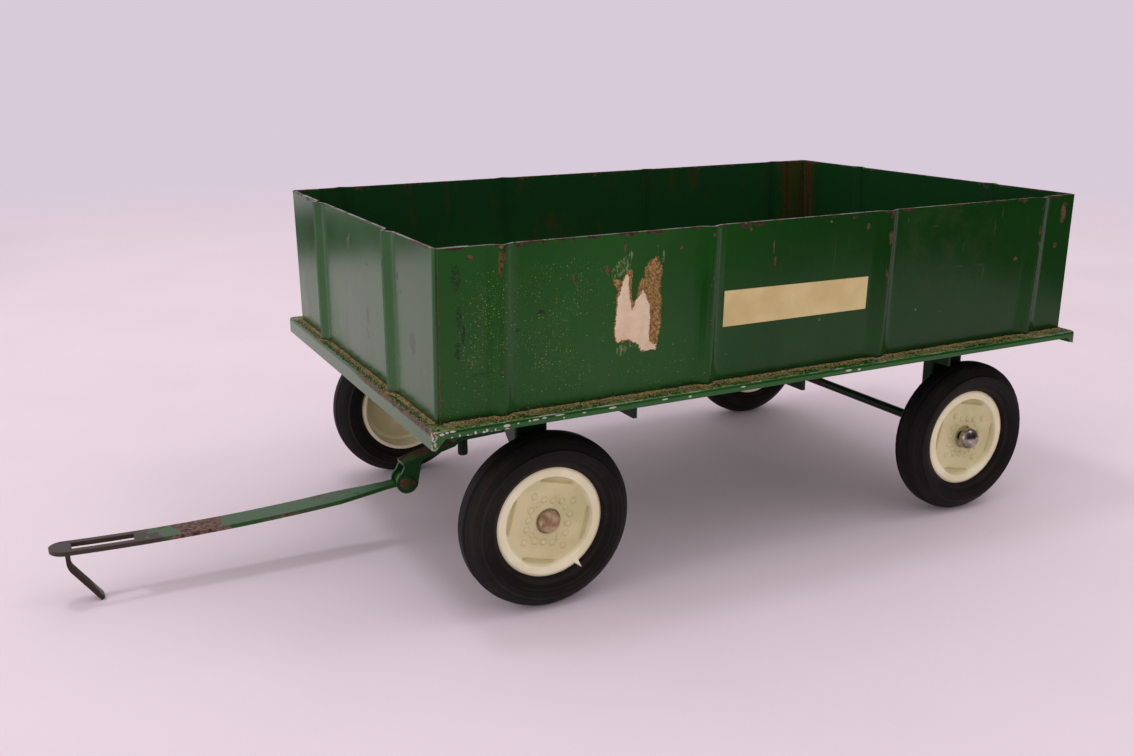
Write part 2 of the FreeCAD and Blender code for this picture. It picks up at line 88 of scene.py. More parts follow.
print("side sheet from y %.1f to %.1f mm" % (face_y_low / MM, face_y_top / MM))

# %% [markdown]
# ## Camera
#
# A camera is a place, a direction and a lens. The direction is given by three angles, in the
# order a tripod has them: turn, tilt, and a very small lean of the horizon. At rest a camera
# looks down with its top towards y, while a tripod's looks level along x. So a quarter turn
# is taken off the turn, and one is added to the tilt.

# %% Camera
camera_place = (0.16137, 0.33141, 0.15137)
turn, tilt, lean = (math.radians(v) for v in (-116.651, -15.924, -0.4216))
lens_mm = 36.51
quarter = math.pi / 2

camera = bpy.data.objects.new("camera", bpy.data.cameras.new("camera"))
bpy.context.scene.collection.objects.link(camera)
pose = Matrix.Translation(camera_place)
for angle, axis in ((turn - quarter, "Z"), (tilt + quarter, "X"), (lean, "Z")):
    pose = pose @ Matrix.Rotation(angle, 4, axis)
camera.matrix_world = pose
camera.data.sensor_width = 36
camera.data.lens = lens_mm
camera.data.clip_start = 0.01
bpy.context.scene.camera = camera
bpy.context.scene.view_settings.view_transform = "Standard"
print("camera at", camera_place, "with a lens of", lens_mm, "mm")

# %% [markdown]
# ## Sums of sockets
#
# A procedural material is a sum of masks. Writing it node by node hides the sum, so one
# small class wraps a socket and lets Python's own operators add the Math nodes. Every other
# node comes from its `node` method: kind, settings, then values or links for the sockets.

# %% A socket that can be added and multiplied
class Wire:
    """One socket of a node tree. Operators on it add Math nodes."""

    def __init__(self, tree, socket=None):
        self.tree, self.socket = tree, socket

    def node(self, kind, settings=None, inputs=None, output=0):
        """Add a node: its settings first, then its inputs by name or by place."""
        made = self.tree.nodes.new("ShaderNode" + kind)
        for key, value in (settings or {}).items():
            setattr(made, key, value)
        for key, value in (inputs or {}).items():
            live = [s for s in made.inputs if s.enabled]
            socket = live[key] if isinstance(key, int) else \
                next(s for s in live if s.name == key)
            if isinstance(value, Wire):
                self.tree.links.new(value.socket, socket)
            else:
                socket.default_value = value
        live = [s for s in made.outputs if s.enabled]
        found = live[output] if isinstance(output, int) else \
            next(s for s in live if s.name == output)
        return Wire(self.tree, found)

    def math(self, operation, a, b=0):
        return self.node("Math", {"operation": operation}, {0: a, 1: b})

    def __add__(self, other):
        return self.math("ADD", self, other)

    def __sub__(self, other):
        return self.math("SUBTRACT", self, other)

    def __rsub__(self, other):
        """A number minus a wire. Sums and products don't mind which comes first."""
        return self.math("SUBTRACT", other, self)

    def __mul__(self, other):
        return self.math("MULTIPLY", self, other)

    __radd__, __rmul__ = __add__, __mul__

    def __abs__(self):
        return self.node("Math", {"operation": "ABSOLUTE"}, {0: self})

    def top(self, other):
        """The larger of two values: either mask."""
        return self.math("MAXIMUM", self, other)

    def rise(self, low, high):
        """0 below low, 1 above high, and a smooth S between them."""
        return self.node("MapRange", {"interpolation_type": "SMOOTHSTEP"},
                         {0: self, 1: low, 2: high})

    def fall(self, low, high):
        """1 below low, 0 above high."""
        return 1 - self.rise(low, high)

    def blend(self, colour_a, colour_b):
        """Colour a where this mask is 0, colour b where it is 1."""
        return self.node("Mix", {"data_type": "RGBA"},
                         {"Factor": self, "A": colour_a, "B": colour_b})


def paint(red, green, blue):
    """A colour written as on a screen, 0 to 255, turned into the linear light Blender uses."""
    levels = np.array([red, green, blue]) / 255
    linear = np.where(levels <= 0.04045, levels / 12.92, ((levels + 0.055) / 1.055) ** 2.4)
    return (*linear.tolist(), 1)


# %% [markdown]
# ## A place to start every material
#
# A `Surface` opens a material and hands out what most finishes need: the place of a point in
# the wagon's own frame, its separate x, y and z, the direction it faces, and noise at a size
# given in millimetres. Its `finish` method fills the Principled shader. Places are object
# coordinates, so a pattern stays on its piece when a joint moves.

# %% Distances to lines and to places
def nearest(axis, lines):
    """Distance to the nearest of several lines across x or y."""
    found = abs(axis - lines[0])
    for line in lines[1:]:
        found = found.math("MINIMUM", found, abs(axis - line))
    return found


def oval(u, w, wide, high):
    """Squared distance from the middle of an oval: 1 on its outline."""
    u, w = u * (1 / wide), w * (1 / high)
    return u * u + w * w


# %% Material builder
class Surface:
    """One material: places and noises to sum up, and the shader at the end."""

    def __init__(self, name, out=(0, 0, 1)):
        self.material = bpy.data.materials.new(name)
        self.material.use_nodes = True
        self.tree = self.material.node_tree
        self.tree.nodes.clear()
        self.node = Wire(self.tree).node
        self.place = self.node("TexCoord", output="Object")
        self.x, self.y, self.z = (self.node("SeparateXYZ", {}, {0: self.place}, i)
                                  for i in range(3))
        facing = self.node("TexCoord", output="Normal")
        self.face_x, self.face_y, self.face_z = (
            self.node("SeparateXYZ", {}, {0: facing}, i) for i in range(3))
        self.outer = (self.face_x * out[0] + self.face_y * out[1]
                      + self.face_z * out[2]).rise(-0.2, 0.3)

    def noise(self, size, detail=3, shift=0, stretch=(1, 1, 1), roughness=0.55):
        """Cloudy noise from 0 to 1 whose blobs are about `size` millimetres across."""
        at = self.node("Mapping", {}, {"Vector": self.place, "Scale": stretch,
                                       "Location": (shift, shift * 0.7, -shift)})
        return self.node("TexNoise", {}, {"Vector": at, "Scale": 0.7 / (size * MM),
                                          "Detail": detail, "Roughness": roughness})

    def dots(self, spacing, radius, share, seed=0):
        """Small round dots on a side: flat cells over x and z, of which a share holds one."""
        flat = {"voronoi_dimensions": "2D"}
        at = self.node("CombineXYZ", {}, {0: self.x + seed, 1: self.z + seed * 1.7})
        cell = {"Vector": at, "Scale": 1 / spacing}
        distance = self.node("TexVoronoi", flat, cell, "Distance")
        colour = self.node("TexVoronoi", flat, cell, "Color")
        chance = self.node("SeparateColor", {}, {0: colour}, 0)
        full = self.node("SeparateColor", {}, {0: colour}, 1) * 0.5 + 0.5
        reach = full * (radius / spacing)
        return (distance - reach).fall(-0.04, 0.02) * chance.rise(1 - share, 1 - share + 0.02)

    def spot(self, places, wobble, soft, ragged=3, axis=None):
        """Ragged spots on a sheet: each is (along, z, half width, half height) in metres."""
        axis = axis or self.x
        mask = None
        for along, z, wide, high in places:
            distance = oval(axis - along, self.z - z, wide, high) + (wobble - 0.5) * ragged
            one = distance.fall(1 - soft, 1 + soft)
            mask = one if mask is None else mask.top(one)
        return mask

    def rounded(self, axis, lines, soft):
        """A normal that rounds V ribs over a width of `soft` each way.

        A parabola takes height off each crest and adds some in each valley, which leaves the
        sheet as a press really bends it. Inside the box the rib is a groove, so the sign turns.
        """
        distance = nearest(axis, lines)
        slope = rib_height / rib_half
        crest = (soft - distance).top(0)
        root = (soft - abs(distance - rib_half)).top(0)
        change = root * root * (slope / (4 * soft)) - crest * crest * (slope / (2 * soft))
        return self.node("Bump", {}, {
            "Strength": 1, "Distance": 1, "Height": change * (self.outer * 2 - 1)})

    def shade(self, colour, rough, height=None, lift=0.1 * MM, strength=1, metal=0,
              normal=None, **constants):
        """Fill the Principled shader. Constants are set on its own sockets."""
        inputs = {"Base Color": colour, "Roughness": rough, "Metallic": metal, **constants}
        if height is not None:
            bump = {"Strength": strength, "Distance": lift, "Height": height}
            if normal is not None:
                bump["Normal"] = normal
            inputs["Normal"] = self.node("Bump", {}, bump)
        return self.node("BsdfPrincipled", {}, inputs)

    def close(self, shader):
        """Link a shader to the material's output."""
        out = self.tree.nodes.new("ShaderNodeOutputMaterial")
        self.tree.links.new(shader.socket, out.inputs["Surface"])
        return self.material

    def finish(self, *numbers, **constants):
        return self.close(self.shade(*numbers, **constants))


# %% [markdown]
# ## Studio
#
# A pale table that fades into pale surroundings, one soft lamp overhead and three weaker ones
# round the wagon. The camera and glossy paint see a pale wall, while matt surfaces gather a
# brighter light, as from a white ceiling. Dark cards stand and lie about the wagon, seen by
# reflections alone: gloss paint mirrors the dark things of a room, and looks deep by them.

# %% Table that fades into the wall
table_colour, table_worn = paint(224, 211, 225), paint(219, 206, 220)
wall_colour = paint(216, 203, 217)
table_reach = 6
fade_start, fade_end = 0.12, 1.4


def seen(wire):
    """1 for rays from the camera or from a mirror, 0 for rays that gather soft light."""
    rays = [wire.node("LightPath", output=ray)
            for ray in ("Is Camera Ray", "Is Glossy Ray", "Is Transmission Ray")]
    return rays[0].top(rays[1]).top(rays[2])


def studio_sheet(name, corners, material):
    """A flat four cornered sheet for the studio, which is not part of the wagon."""
    mesh = bpy.data.meshes.new(name)
    mesh.from_pydata(corners, [], [(0, 1, 2, 3)])
    sheet = bpy.data.objects.new(name, mesh)
    bpy.context.scene.collection.objects.link(sheet)
    mesh.materials.append(material)
    return sheet


def level_sheet(name, x0, y0, x1, y1, z, material):
    """A studio sheet that lies at height z, from one corner to the opposite one."""
    return studio_sheet(name, [(x0, y0, z), (x0, y1, z), (x1, y1, z), (x1, y0, z)], material)


cloth = Surface("table_cloth")
matt = cloth.shade(cloth.noise(60).rise(0.2, 0.9).blend(table_colour, table_worn), 0.9)
far = (cloth.x * cloth.x + cloth.y * cloth.y).rise(fade_start, fade_end)
glow = cloth.node("Emission", {}, {"Color": wall_colour})
cloth_finish = cloth.close(cloth.node(
    "MixShader", {}, {0: seen(cloth.place) * far, 1: matt, 2: glow}))
level_sheet("table_top", table_reach, -table_reach, -table_reach, table_reach, 0, cloth_finish)
print("table:", cloth_finish.name)

# %% Dark cards that only mirrors see
card_black = paint(20, 20, 22)


def card_finish(name, cover):
    """Matt black that covers as much as `cover` says: a number, or a mask of the surface."""
    s = Surface(name)
    share = cover(s) if callable(cover) else cover
    return s.close(s.node("MixShader", {}, {
        0: share, 1: s.node("BsdfTransparent"), 2: s.shade(card_black, 1)}))


def faded(s):
    """1 in the middle of the fold card, 0 at its ends."""
    return (s.y.rise(-0.90, -0.74) * s.y.fall(-0.56, -0.47)
            * s.x.rise(0.10, 0.18) * s.x.fall(0.30, 0.40))


black_finish = card_finish("dark_card", 1)
dim_finish = card_finish("dim_card", 0.9)
cards = [
    studio_sheet("dark_card", [(0.7, 0.44, 0), (-1.6, 0.20, 0), (-1.6, 0.44, 1.4),
                               (0.7, 0.68, 1.4)], black_finish),
    studio_sheet("dim_card", [(-0.9, 0.12, 0), (-0.9, -0.7, 0), (-0.9, -0.7, 0.6),
                              (-0.9, 0.12, 0.6)], dim_finish),
    level_sheet("tail_card", -0.34, -0.22, -0.9, 0.09, 0.002, dim_finish),
    level_sheet("foot_card", 0.34, 0.27, 0.02, 0.43, 0.002, black_finish),
    level_sheet("heel_card", -0.36, 0.20, -0.75, 0.34, 0.002, black_finish),
    level_sheet("fold_card", 0.42, -0.92, 0.08, -0.44, 0.003, card_finish("low_card", faded))]
for card in cards:
    for ray in ("camera", "diffuse", "transmission", "volume_scatter", "shadow"):
        setattr(card, "visible_" + ray, False)
print("cards:", [card.name for card in cards])

# %% World and lamps
room_colour = paint(247, 238, 234)
lamp_aim = (-0.04, 0, 0.05)
world = bpy.data.worlds.new("studio")
bpy.context.scene.world = world
world.use_nodes = True
world.node_tree.nodes.clear()
sky = Wire(world.node_tree)
room = seen(sky).blend(room_colour, wall_colour)
backdrop = sky.node("Background", {}, {"Color": room, "Strength": 1})
world_out = world.node_tree.nodes.new("ShaderNodeOutputWorld")
world.node_tree.links.new(backdrop.socket, world_out.inputs["Surface"])


def soft_lamp(name, place, size, watts):
    """A square area lamp that faces a point on the wagon."""
    data = bpy.data.lights.new(name, "AREA")
    data.size, data.energy = size, watts
    lamp = bpy.data.objects.new(name, data)
    bpy.context.scene.collection.objects.link(lamp)
    lamp.location = place
    away = lamp.location - Vector(lamp_aim)
    lamp.rotation_euler = away.to_track_quat("Z", "Y").to_euler()
    return lamp


lamps = [soft_lamp(*row) for row in (
    ("overhead_lamp", (0.34, -0.15, 1.25), 0.20, 2.2),
    ("camera_lamp", (-0.56, 0.34, 1.2), 0.35, 1.2),
    ("rear_lamp", (-0.85, 0.85, 1.05), 0.5, 0.5),
    ("front_lamp", (1.15, 0.15, 0.45), 0.7, 1.9))]
print("studio:", [(lamp.name, lamp.data.energy) for lamp in lamps])

# %% [markdown]
# ## Green enamel
#
# The steel is dipped in one coat of dark green enamel. It has soft gloss, a faint orange
# peel, and small dust grains that dried into it. Where hands and other toys knocked it, the
# coat chipped and the steel below rusted, first along raw edges and rib crests. The finish
# is built in that order: clean coat, painted shade inside the box and towards the rear of
# its left side, film that also paints light on the front, scuffs and dirt with painted shade
# in the inner corners, grains and old glue, rust, bare metal, dust on top.

# %% Enamel
green = paint(25, 80, 23)
green_deep = paint(20, 67, 18)
# Painted shade: the darker green for faces turned away, such as the inside of the box.
green_inside_shade = paint(17, 52, 24)
# Paler green of the dull film, which also paints light on the front of the box.
film_and_light_green = paint(44, 80, 36)
painted_shade_green = paint(9, 30, 9)
olive = paint(54, 68, 31)
grime_and_shade = paint(26, 30, 18)
rust_dark = paint(56, 33, 22)
rust_light = paint(100, 68, 46)
stain_brown = paint(68, 40, 17)
steel_bare = paint(214, 202, 194)
edge_grey = paint(100, 88, 75)
dust_pale = paint(130, 128, 78)
dust_deep = paint(76, 86, 43)
gold_grain = paint(168, 176, 100)
residue_pale = paint(122, 134, 88)


def enamel(name, out=(0, 0, 1), rust=None, bare=None, dust=None, grain=None, film=None,
           residue=None, dark=None, scuff=None, stain=None, ribs=None, soft=1.6 * MM,
           rough=0.11, gloss=0.5, bare_colour=steel_bare, inner=green_inside_shade,
           tones=(green_deep, green), rusts=(rust_dark, rust_light), deep=None):
    """Green enamel. Each optional mask is a function of the surface, from 0 to 1."""
    s = Surface(name, out)
    cloud = s.noise(28, 4)
    fine = s.noise(1.8, 3, 0.3)
    peel = s.noise(0.9, 2, 0.1)
    colour = cloud.rise(0.3, 0.7).blend(*tones)
    # Faces turned away from `out` take the `inner` colour. Where it is darker than the coat, as
    # inside the box and under the brackets, it is painted shade.
    colour = s.outer.blend(inner, colour)
    shine = rough + 0.07 * cloud + 0.05 * fine
    height = 0.10 * peel

    def layer(mask, tone, duller, lift=0, strength=1):
        """Lay a tone over what is there, and change shine and height with it."""
        nonlocal colour, shine, height
        if mask:
            cover = mask(s)
            colour = (cover * strength).blend(colour, tone)
            shine = shine + cover * duller
            height = height + cover * lift

    # Painted shade: the coat is darkened where the `deep` mask says.
    layer(deep, painted_shade_green, 0)
    layer(film, film_and_light_green, 0.12, 0, 0.55)
    layer(scuff, olive, 0.10, 0, 0.40)
    # Dirt marks, and painted shade in the inner corners of the box.
    layer(dark, grime_and_shade, 0.15, 0.1, 0.70)
    layer(stain, stain_brown, 0.15, 0.1, 0.85)
    layer(grain, gold_grain, 0.25, 0.5)
    layer(residue, residue_pale, 0.35, 0.3, 0.75)
    near_top = s.z.rise(box_top - 2.5 * MM, box_top - 0.5 * MM) * 0.14
    rust_tone = (s.noise(0.8, 4, 0.7) - near_top).rise(0.35, 0.62).blend(*rusts)
    layer(rust, rust_tone, 0.45, -0.6)
    layer(bare, bare_colour, 0.2, -0.6)
    dust_tone = s.noise(0.5, 2, 0.2).rise(0.35, 0.65).blend(dust_pale, dust_deep)
    layer(dust, dust_tone, 0.6, 0.5)
    normal = s.rounded(getattr(s, ribs[0]), ribs[1], soft) if ribs else None
    return s.finish(colour, shine, height, 0.07 * MM, 0.5, 0, normal,
                    **{"Specular IOR Level": gloss, "Specular Tint": (0.83, 1, 0.85, 1)})


# %% [markdown]
# ## Worn places on the box
#
# Rust starts where the sheet was cut: a thin line along every top edge, widening into bites
# where the noise is high. Rib crests stand proud, so they are rubbed through first, most of
# all near the top. Knocks, scratches and smudges are listed one by one on the left side, each
# as (x, z, half width, half height) in millimetres.

# %% Raw edges and rib crests
def scaled(rows):
    """Rows in millimetres, turned into metres."""
    return [tuple(v * MM for v in row) for row in rows]


def near_lines(axis, lines, width):
    """1 on any of the lines across x or y, fading to 0 at `width`."""
    return nearest(axis, lines).fall(width * 0.3, width)


def edge_rust(s):
    """Rust below the raw top edge, outside and inside: deeper where the noise is high."""
    bite = s.noise(5, 4, 0.5)
    fleck = s.noise(0.9, 4, 2.6)
    below = box_top - s.z
    return (bite * 6 + fleck * 4 - below * (1 / MM)).rise(5, 5.3)


def crest_rust(s, axis, lines):
    """Rubbed rib crests, only on the outer side and mostly in the upper half."""
    bite = s.noise(1.4, 5, 1.3, (1, 1, 0.45))
    high = s.z.rise(deck_top, box_top)
    return near_lines(axis, lines, 0.8 * MM) * (bite + high * 0.14).rise(0.68, 0.72) * s.outer


# %% Knocks, marks and scratches, place by place
knocks = scaled((
    (56.8, 102.4, 0.8, 0.6), (49.3, 100.6, 0.55, 2.6), (49.6, 97.6, 0.5, 0.7),
    (61.4, 104.9, 2.6, 0.4), (43.1, 104.6, 1.5, 0.5), (48.6, 78.4, 0.3, 0.8),
    (48.9, 72.5, 0.35, 1), (37, 104.8, 0.6, 0.5),
    (32.8, 104.8, 0.5, 0.3), (28.4, 104.6, 0.6, 0.5), (23.1, 104.7, 1.4, 0.45),
    (14.5, 104.6, 0.4, 0.4), (3.4, 104.8, 3, 0.5), (-18.9, 104.9, 1, 0.4),
    (-25, 104.5, 1.7, 0.9), (-29.8, 104.6, 1.6, 0.6), (-27, 103.2, 0.5, 0.5),
    (27.9, 94.2, 0.45, 1.2), (26.9, 92.1, 0.25, 0.6), (-4.5, 99.8, 0.45, 0.5),
    (12.8, 101.2, 0.4, 0.9), (18, 95.8, 0.75, 1.3), (-35.3, 97.3, 0.25, 1.8),
    (-36, 93.6, 0.45, 1.3), (-69, 100.8, 0.6, 0.9), (-76.7, 97.4, 0.9, 1.7),
    (-63.8, 104, 1, 0.4), (-101.2, 71.9, 0.45, 0.45), (-105, 105.2, 2.5, 0.35),
    (-150.2, 99.4, 1.2, 3.2), (-148.5, 89, 0.8, 0.8), (-131.2, 86, 0.7, 0.7),
    (57.5, 74.5, 0.3, 0.7)))
marks = scaled((
    (60, 87.6, 0.8, 2.8), (60.4, 78.8, 0.9, 2.2), (60.7, 97.4, 1.2, 3.4),
    (58.9, 83, 0.5, 2.4), (37.2, 86.4, 0.9, 0.9), (48.9, 71.4, 0.9, 0.5),
    (54, 72, 3.4, 0.2), (44, 82.4, 0.6, 0.5), (-14.6, 66.2, 0.4, 0.5)))
scuffs = scaled((
    (-120.4, 97.1, 0.4, 2.8), (-123, 101.4, 0.4, 1.6), (-117.6, 82.6, 0.5, 2.2),
    (-116, 85.3, 1.8, 0.4), (-84.3, 101.8, 0.4, 1), (-57.4, 94.3, 0.16, 5.4),
    (-106.4, 85.6, 2.6, 0.3), (-108, 92, 0.3, 2), (-95.5, 99, 1.6, 0.3)))
specks = scaled(((-91, 73.4, 0.4, 0.4), (-53.7, 74.3, 0.35, 0.35), (-55.1, 103.3, 0.4, 0.3),
                 (-25.2, 104.9, 0.5, 0.2), (49.2, 104.7, 0.5, 0.4)))
front_knocks = scaled((
    (-3.3, 96.4, 0.9, 1.7), (-2, 98.6, 0.4, 0.8), (14.1, 92.7, 0.4, 0.4), (27, 105.4, 2.5, 0.6),
    (-48.2, 104.6, 2.2, 0.5), (56, 105, 3, 0.5), (33.9, 103.9, 0.4, 1.6)))
front_marks = scaled(((12.8, 77.6, 1.2, 2.6), (12.2, 72, 0.6, 1.6), (41.9, 94, 0.8, 1.2),
                      (44, 90, 0.4, 1), (13.8, 98, 0.5, 0.4), (52, 78, 2.4, 3)))
paper_residue = scaled((
    (14.4, 96, 1.3, 2), (12.4, 96.9, 1.4, 2.4), (11.2, 99, 0.6, 1.2),
    (13.4, 73.2, 1.4, 1.5), (10.6, 74.4, 2.4, 0.9), (2.9, 100, 0.4, 1.3),
    (1.2, 98, 0.5, 1.6), (16.2, 94.6, 0.6, 1.4)))


# %% Rust of one box sheet
def sheet_rust(axis, lines, places=None, ragged=5.5, shift=0):
    """Rust of a sheet whose ribs stand across `axis`.

    Its knocks are the given places, made ragged and crumbly. A sheet without a list has its
    knocks where the noise is highest.
    """
    def mask(s):
        along = getattr(s, axis)
        if places:
            wobble = s.noise(0.9, 5, 2, roughness=0.7)
            crumble = s.noise(0.4, 3, 4.4).rise(0.30, 0.42)
            chips = s.spot(places, wobble, 0.25, ragged, along) * crumble
        else:
            chips = s.noise(3, 5, shift, roughness=0.65).rise(0.74, 0.76)
        return edge_rust(s).top(crest_rust(s, along, lines)).top(chips * s.outer)
    return mask


def side_seam(s):
    """A thin broken line of rust along the raw front and rear ends of the side sheets."""
    bite = s.noise(1.2, 4, 1.7, (1, 1, 0.5))
    ends = near_lines(s.x, [side_high.x, side_low.x], 0.55 * MM)
    return (ends * (bite + 0.5)).rise(0.70, 0.90) * abs(s.face_x).fall(0.5, 0.8)


def top_edge(s):
    """The cut edge itself, grey steel that shows between the rust."""
    return s.face_z.rise(0.6, 0.9) * s.noise(2, 4, 1.9).rise(0.42, 0.60) \
        * s.z.rise(box_top - 0.4 * MM, box_top - 0.1 * MM)


# %% Grains, old glue and bare specks in the coat
grain_crowds = [(scaled([place])[0], dense) for place, dense in (
    ((53, 84, 9, 22), 0.80), ((33, 82, 20, 32), 0.34), ((56, 66, 22, 10), 0.25),
    ((10, 68, 40, 10), 0.12))]


def crowd(s, x, z, wide, high):
    """A soft oval crowd on a side, 1 at its middle."""
    return oval(s.x - x, s.z - z, wide, high).fall(0, 1)


def left_grain(s):
    """Gold grains dried into the coat: crowds beside the front rib, few towards the rear."""
    patchy = s.noise(5, 4, 3, roughness=0.7).rise(0.32, 0.66)
    share = crowd(s, *grain_crowds[0][0]) * grain_crowds[0][1]
    for place, dense in grain_crowds[1:]:
        share = share.top(crowd(s, *place) * dense)
    share = (share * patchy + 0.008) * s.z.fall(97 * MM, 102 * MM)
    tiny = s.dots(0.46 * MM, 0.085 * MM, share * 1.1)
    middle = s.dots(MM, 0.14 * MM, share, 0.9)
    return (tiny * 0.36).top(middle * 0.64) * s.outer


def right_grain(s):
    """Grains on the right side, in patches of their own."""
    share = s.noise(9, 3, 5.5).rise(0.52, 0.80) * 0.3
    return s.dots(0.5 * MM, 0.12 * MM, share, 0.5) * s.outer * 0.8


def left_residue(s):
    """Fibres and dried glue scratched over the paint about the torn label."""
    fibre = s.noise(0.55, 4, 5.1, (1, 1, 0.45), 0.7)
    return s.spot(paper_residue, s.noise(1.5, 4, 4), 0.5) \
        * fibre.rise(0.48, 0.57) * s.outer


def left_bare(s):
    """The grey cut edge, and a few specks knocked down to the steel."""
    return top_edge(s).top(s.spot(specks, s.noise(0.5, 2, 1), 0.3, 1) * s.outer)


# %% Dirt, scuffs, and a dull film that also paints light
def foot_grime(s):
    """Brown damp line where the sheet stands on the deck."""
    bite = s.noise(1.6, 4, 6.1, (1, 1, 2))
    return ((deck_top - s.z) * (1 / MM) + bite * 3.2).rise(0.2, 0.9) * s.outer


def left_dark(s):
    """Dark marks on the left side, broken up, and the damp line at its foot."""
    wobble = s.noise(0.7, 5, 9, roughness=0.75)
    broken = s.noise(0.5, 4, 3.4).rise(0.40, 0.55)
    return (s.spot(marks, wobble, 0.5, 4) * broken * s.outer).top(foot_grime(s))


def front_dark(s):
    """Faint dark marks on the front, and the damp line at its foot."""
    wobble = s.noise(0.8, 5, 9, roughness=0.75)
    spots = s.spot(front_marks, wobble, 0.6, 4, s.y)
    return (spots * 0.6 * s.outer).top(foot_grime(s))


def left_scuff(s):
    """Fine scratches that cross each other, and a haze of them in the fourth bay."""
    hair = s.noise(0.9, 5, 2.2, (1, 1, 0.25), 0.7).rise(0.58, 0.66)
    drawn = s.spot(scuffs, s.noise(1.2, 4, 8.8), 0.6, 2.4)
    haze = crowd(s, -100 * MM, 94 * MM, 26 * MM, 20 * MM) \
        * s.noise(7, 5, 1.1, roughness=0.7).rise(0.42, 0.66)
    return (drawn.top(hair * 0.3).top(haze * 0.7)) * s.outer


def film_and_front_light(s):
    """Dull streaks of film up from the deck, thinning to the rear: also painted light on the
    front.
    """
    streak = s.noise(9, 4, 0.9, (1, 1, 0.25))
    # Painted light: the pale film is strongest at the front and weakest at the rear.
    ahead = s.x.rise(-90 * MM, 20 * MM) * 0.75 + 0.25
    return (deck_top + 20 * MM - s.z).rise(-16 * MM, 18 * MM) * streak.rise(0.3, 0.7) * ahead


def left_film_and_front_light(s):
    """The same, and a thin film over the whole height of the front bays that also paints light
    on them.
    """
    return film_and_front_light(s).top(s.x.rise(-20 * MM, 10 * MM) * s.outer * 0.55)


def left_rear_shade(s):
    """Painted shade: the coat is darkened from the middle of the side to its rear, where less
    light falls.
    """
    return s.x.fall(-60 * MM, 20 * MM) * s.outer * 0.58


# %% Stains inside the box, and painted shade in its corners
def inside_stain(s):
    """Brown run down the inside of the rear right corner, and faint smears elsewhere."""
    along = (s.x - rear_face_x).fall(5 * MM, 22 * MM)
    streak = s.noise(5, 5, 8.2, (1, 1, 0.3), 0.65)
    right = s.y.fall(-65 * MM, -61 * MM)
    smear = s.noise(7, 4, 4.6, (1, 1, 0.5)).rise(0.60, 0.75) * 0.22
    high = s.z.rise(box_top - 34 * MM, box_top) * 0.12
    run = (along * 0.22 + high * (along * 0.7 + 0.3) + streak).rise(0.56, 0.84)
    return (run * right * 0.85).top(smear) * (1 - s.outer)


def inside_corner_shade(s):
    """Painted shade: near black in the inner corners of the box."""
    x_gap = near_lines(s.x, [rear_face_x, front_face_x], 5 * MM)
    y_gap = near_lines(s.y, [face_y_top, -face_y_top], 5 * MM)
    return (x_gap * y_gap) * (1 - s.outer)


# %% Enamel of the four box sheets
def either(*masks):
    """A mask that is 1 where any of several masks is."""
    def joined(s):
        found = masks[0](s)
        for mask in masks[1:]:
            found = found.top(mask(s))
        return found
    return joined


side_wear = {"stain": inside_stain, "ribs": ("x", rib_x), "bare_colour": edge_grey}
end_wear = {"stain": inside_stain, "ribs": ("y", rib_y), "bare_colour": edge_grey,
            "film": film_and_front_light, "soft": 0.9 * MM, "rough": 0.12}
enamel_left = enamel(
    "enamel_left", (0, 1, 0), either(sheet_rust("x", rib_x, knocks), side_seam), left_bare,
    grain=left_grain, film=left_film_and_front_light, residue=left_residue, dark=either(left_dark, inside_corner_shade),
    scuff=left_scuff, deep=left_rear_shade, soft=1.75 * MM, gloss=0.26, **side_wear)
enamel_right = enamel(
    "enamel_right", (0, -1, 0), either(sheet_rust("x", rib_x, shift=7.7), side_seam), top_edge,
    grain=right_grain, film=film_and_front_light, dark=either(foot_grime, inside_corner_shade), **side_wear)
enamel_front = enamel("enamel_front", (1, 0, 0), sheet_rust("y", rib_y, front_knocks, 4.5),
                      top_edge, dark=either(front_dark, inside_corner_shade), **end_wear)
enamel_rear = enamel("enamel_rear", (-1, 0, 0), sheet_rust("y", rib_y, shift=6.4),
                     top_edge, dark=either(foot_grime, inside_corner_shade), **end_wear)
print("enamel for the box:", enamel_left.name, enamel_right.name, enamel_front.name)

# %% [markdown]
# ## Deck, brackets and strip
#
# The deck is the same enamel under khaki dust, and its left flange is chipped to bare metal.
# The brackets below it hang in its shade, and are painted near black green for it: painted
# shade. The drawbar rubs on all it is hitched to, so half of its paint is gone: red rust in
# long patches, dark brown rust round its slot and on its hook.

# %% Dust, chips and rust of the deck
flange_chips = scaled((
    (64.5, 57.8, 0.35, 0.3), (62.4, 58, 0.22, 0.5), (60.2, 57.9, 0.3, 0.22),
    (59.4, 57.7, 0.5, 0.18), (58.1, 58.2, 0.3, 0.4), (55.8, 58, 0.45, 0.35),
    (54.9, 58.3, 0.35, 0.45), (53.7, 57.9, 0.15, 0.15), (52.6, 58.1, 0.2, 0.5),
    (51.6, 57.7, 0.7, 0.22), (49.4, 58.7, 0.9, 0.4), (49.3, 57.8, 0.6, 0.3),
    (67.2, 59.1, 0.7, 0.35), (65.8, 59.3, 0.5, 0.25), (64.2, 59.4, 0.8, 0.2),
    (46.2, 58.9, 0.3, 0.2), (42.9, 59, 0.4, 0.3), (41.2, 59.1, 0.9, 0.22),
    (38.8, 59.2, 0.7, 0.2), (34.2, 59.3, 1.6, 0.15), (33, 58.4, 0.3, 0.2),
    (27, 58.9, 0.5, 0.25), (18.4, 59, 1.1, 0.25), (2, 59, 0.9, 0.2),
    (-6.1, 58.6, 0.5, 0.3), (-24, 59, 0.8, 0.2), (-62, 58.8, 1.2, 0.3),
    (-66, 58.6, 0.5, 0.3)))


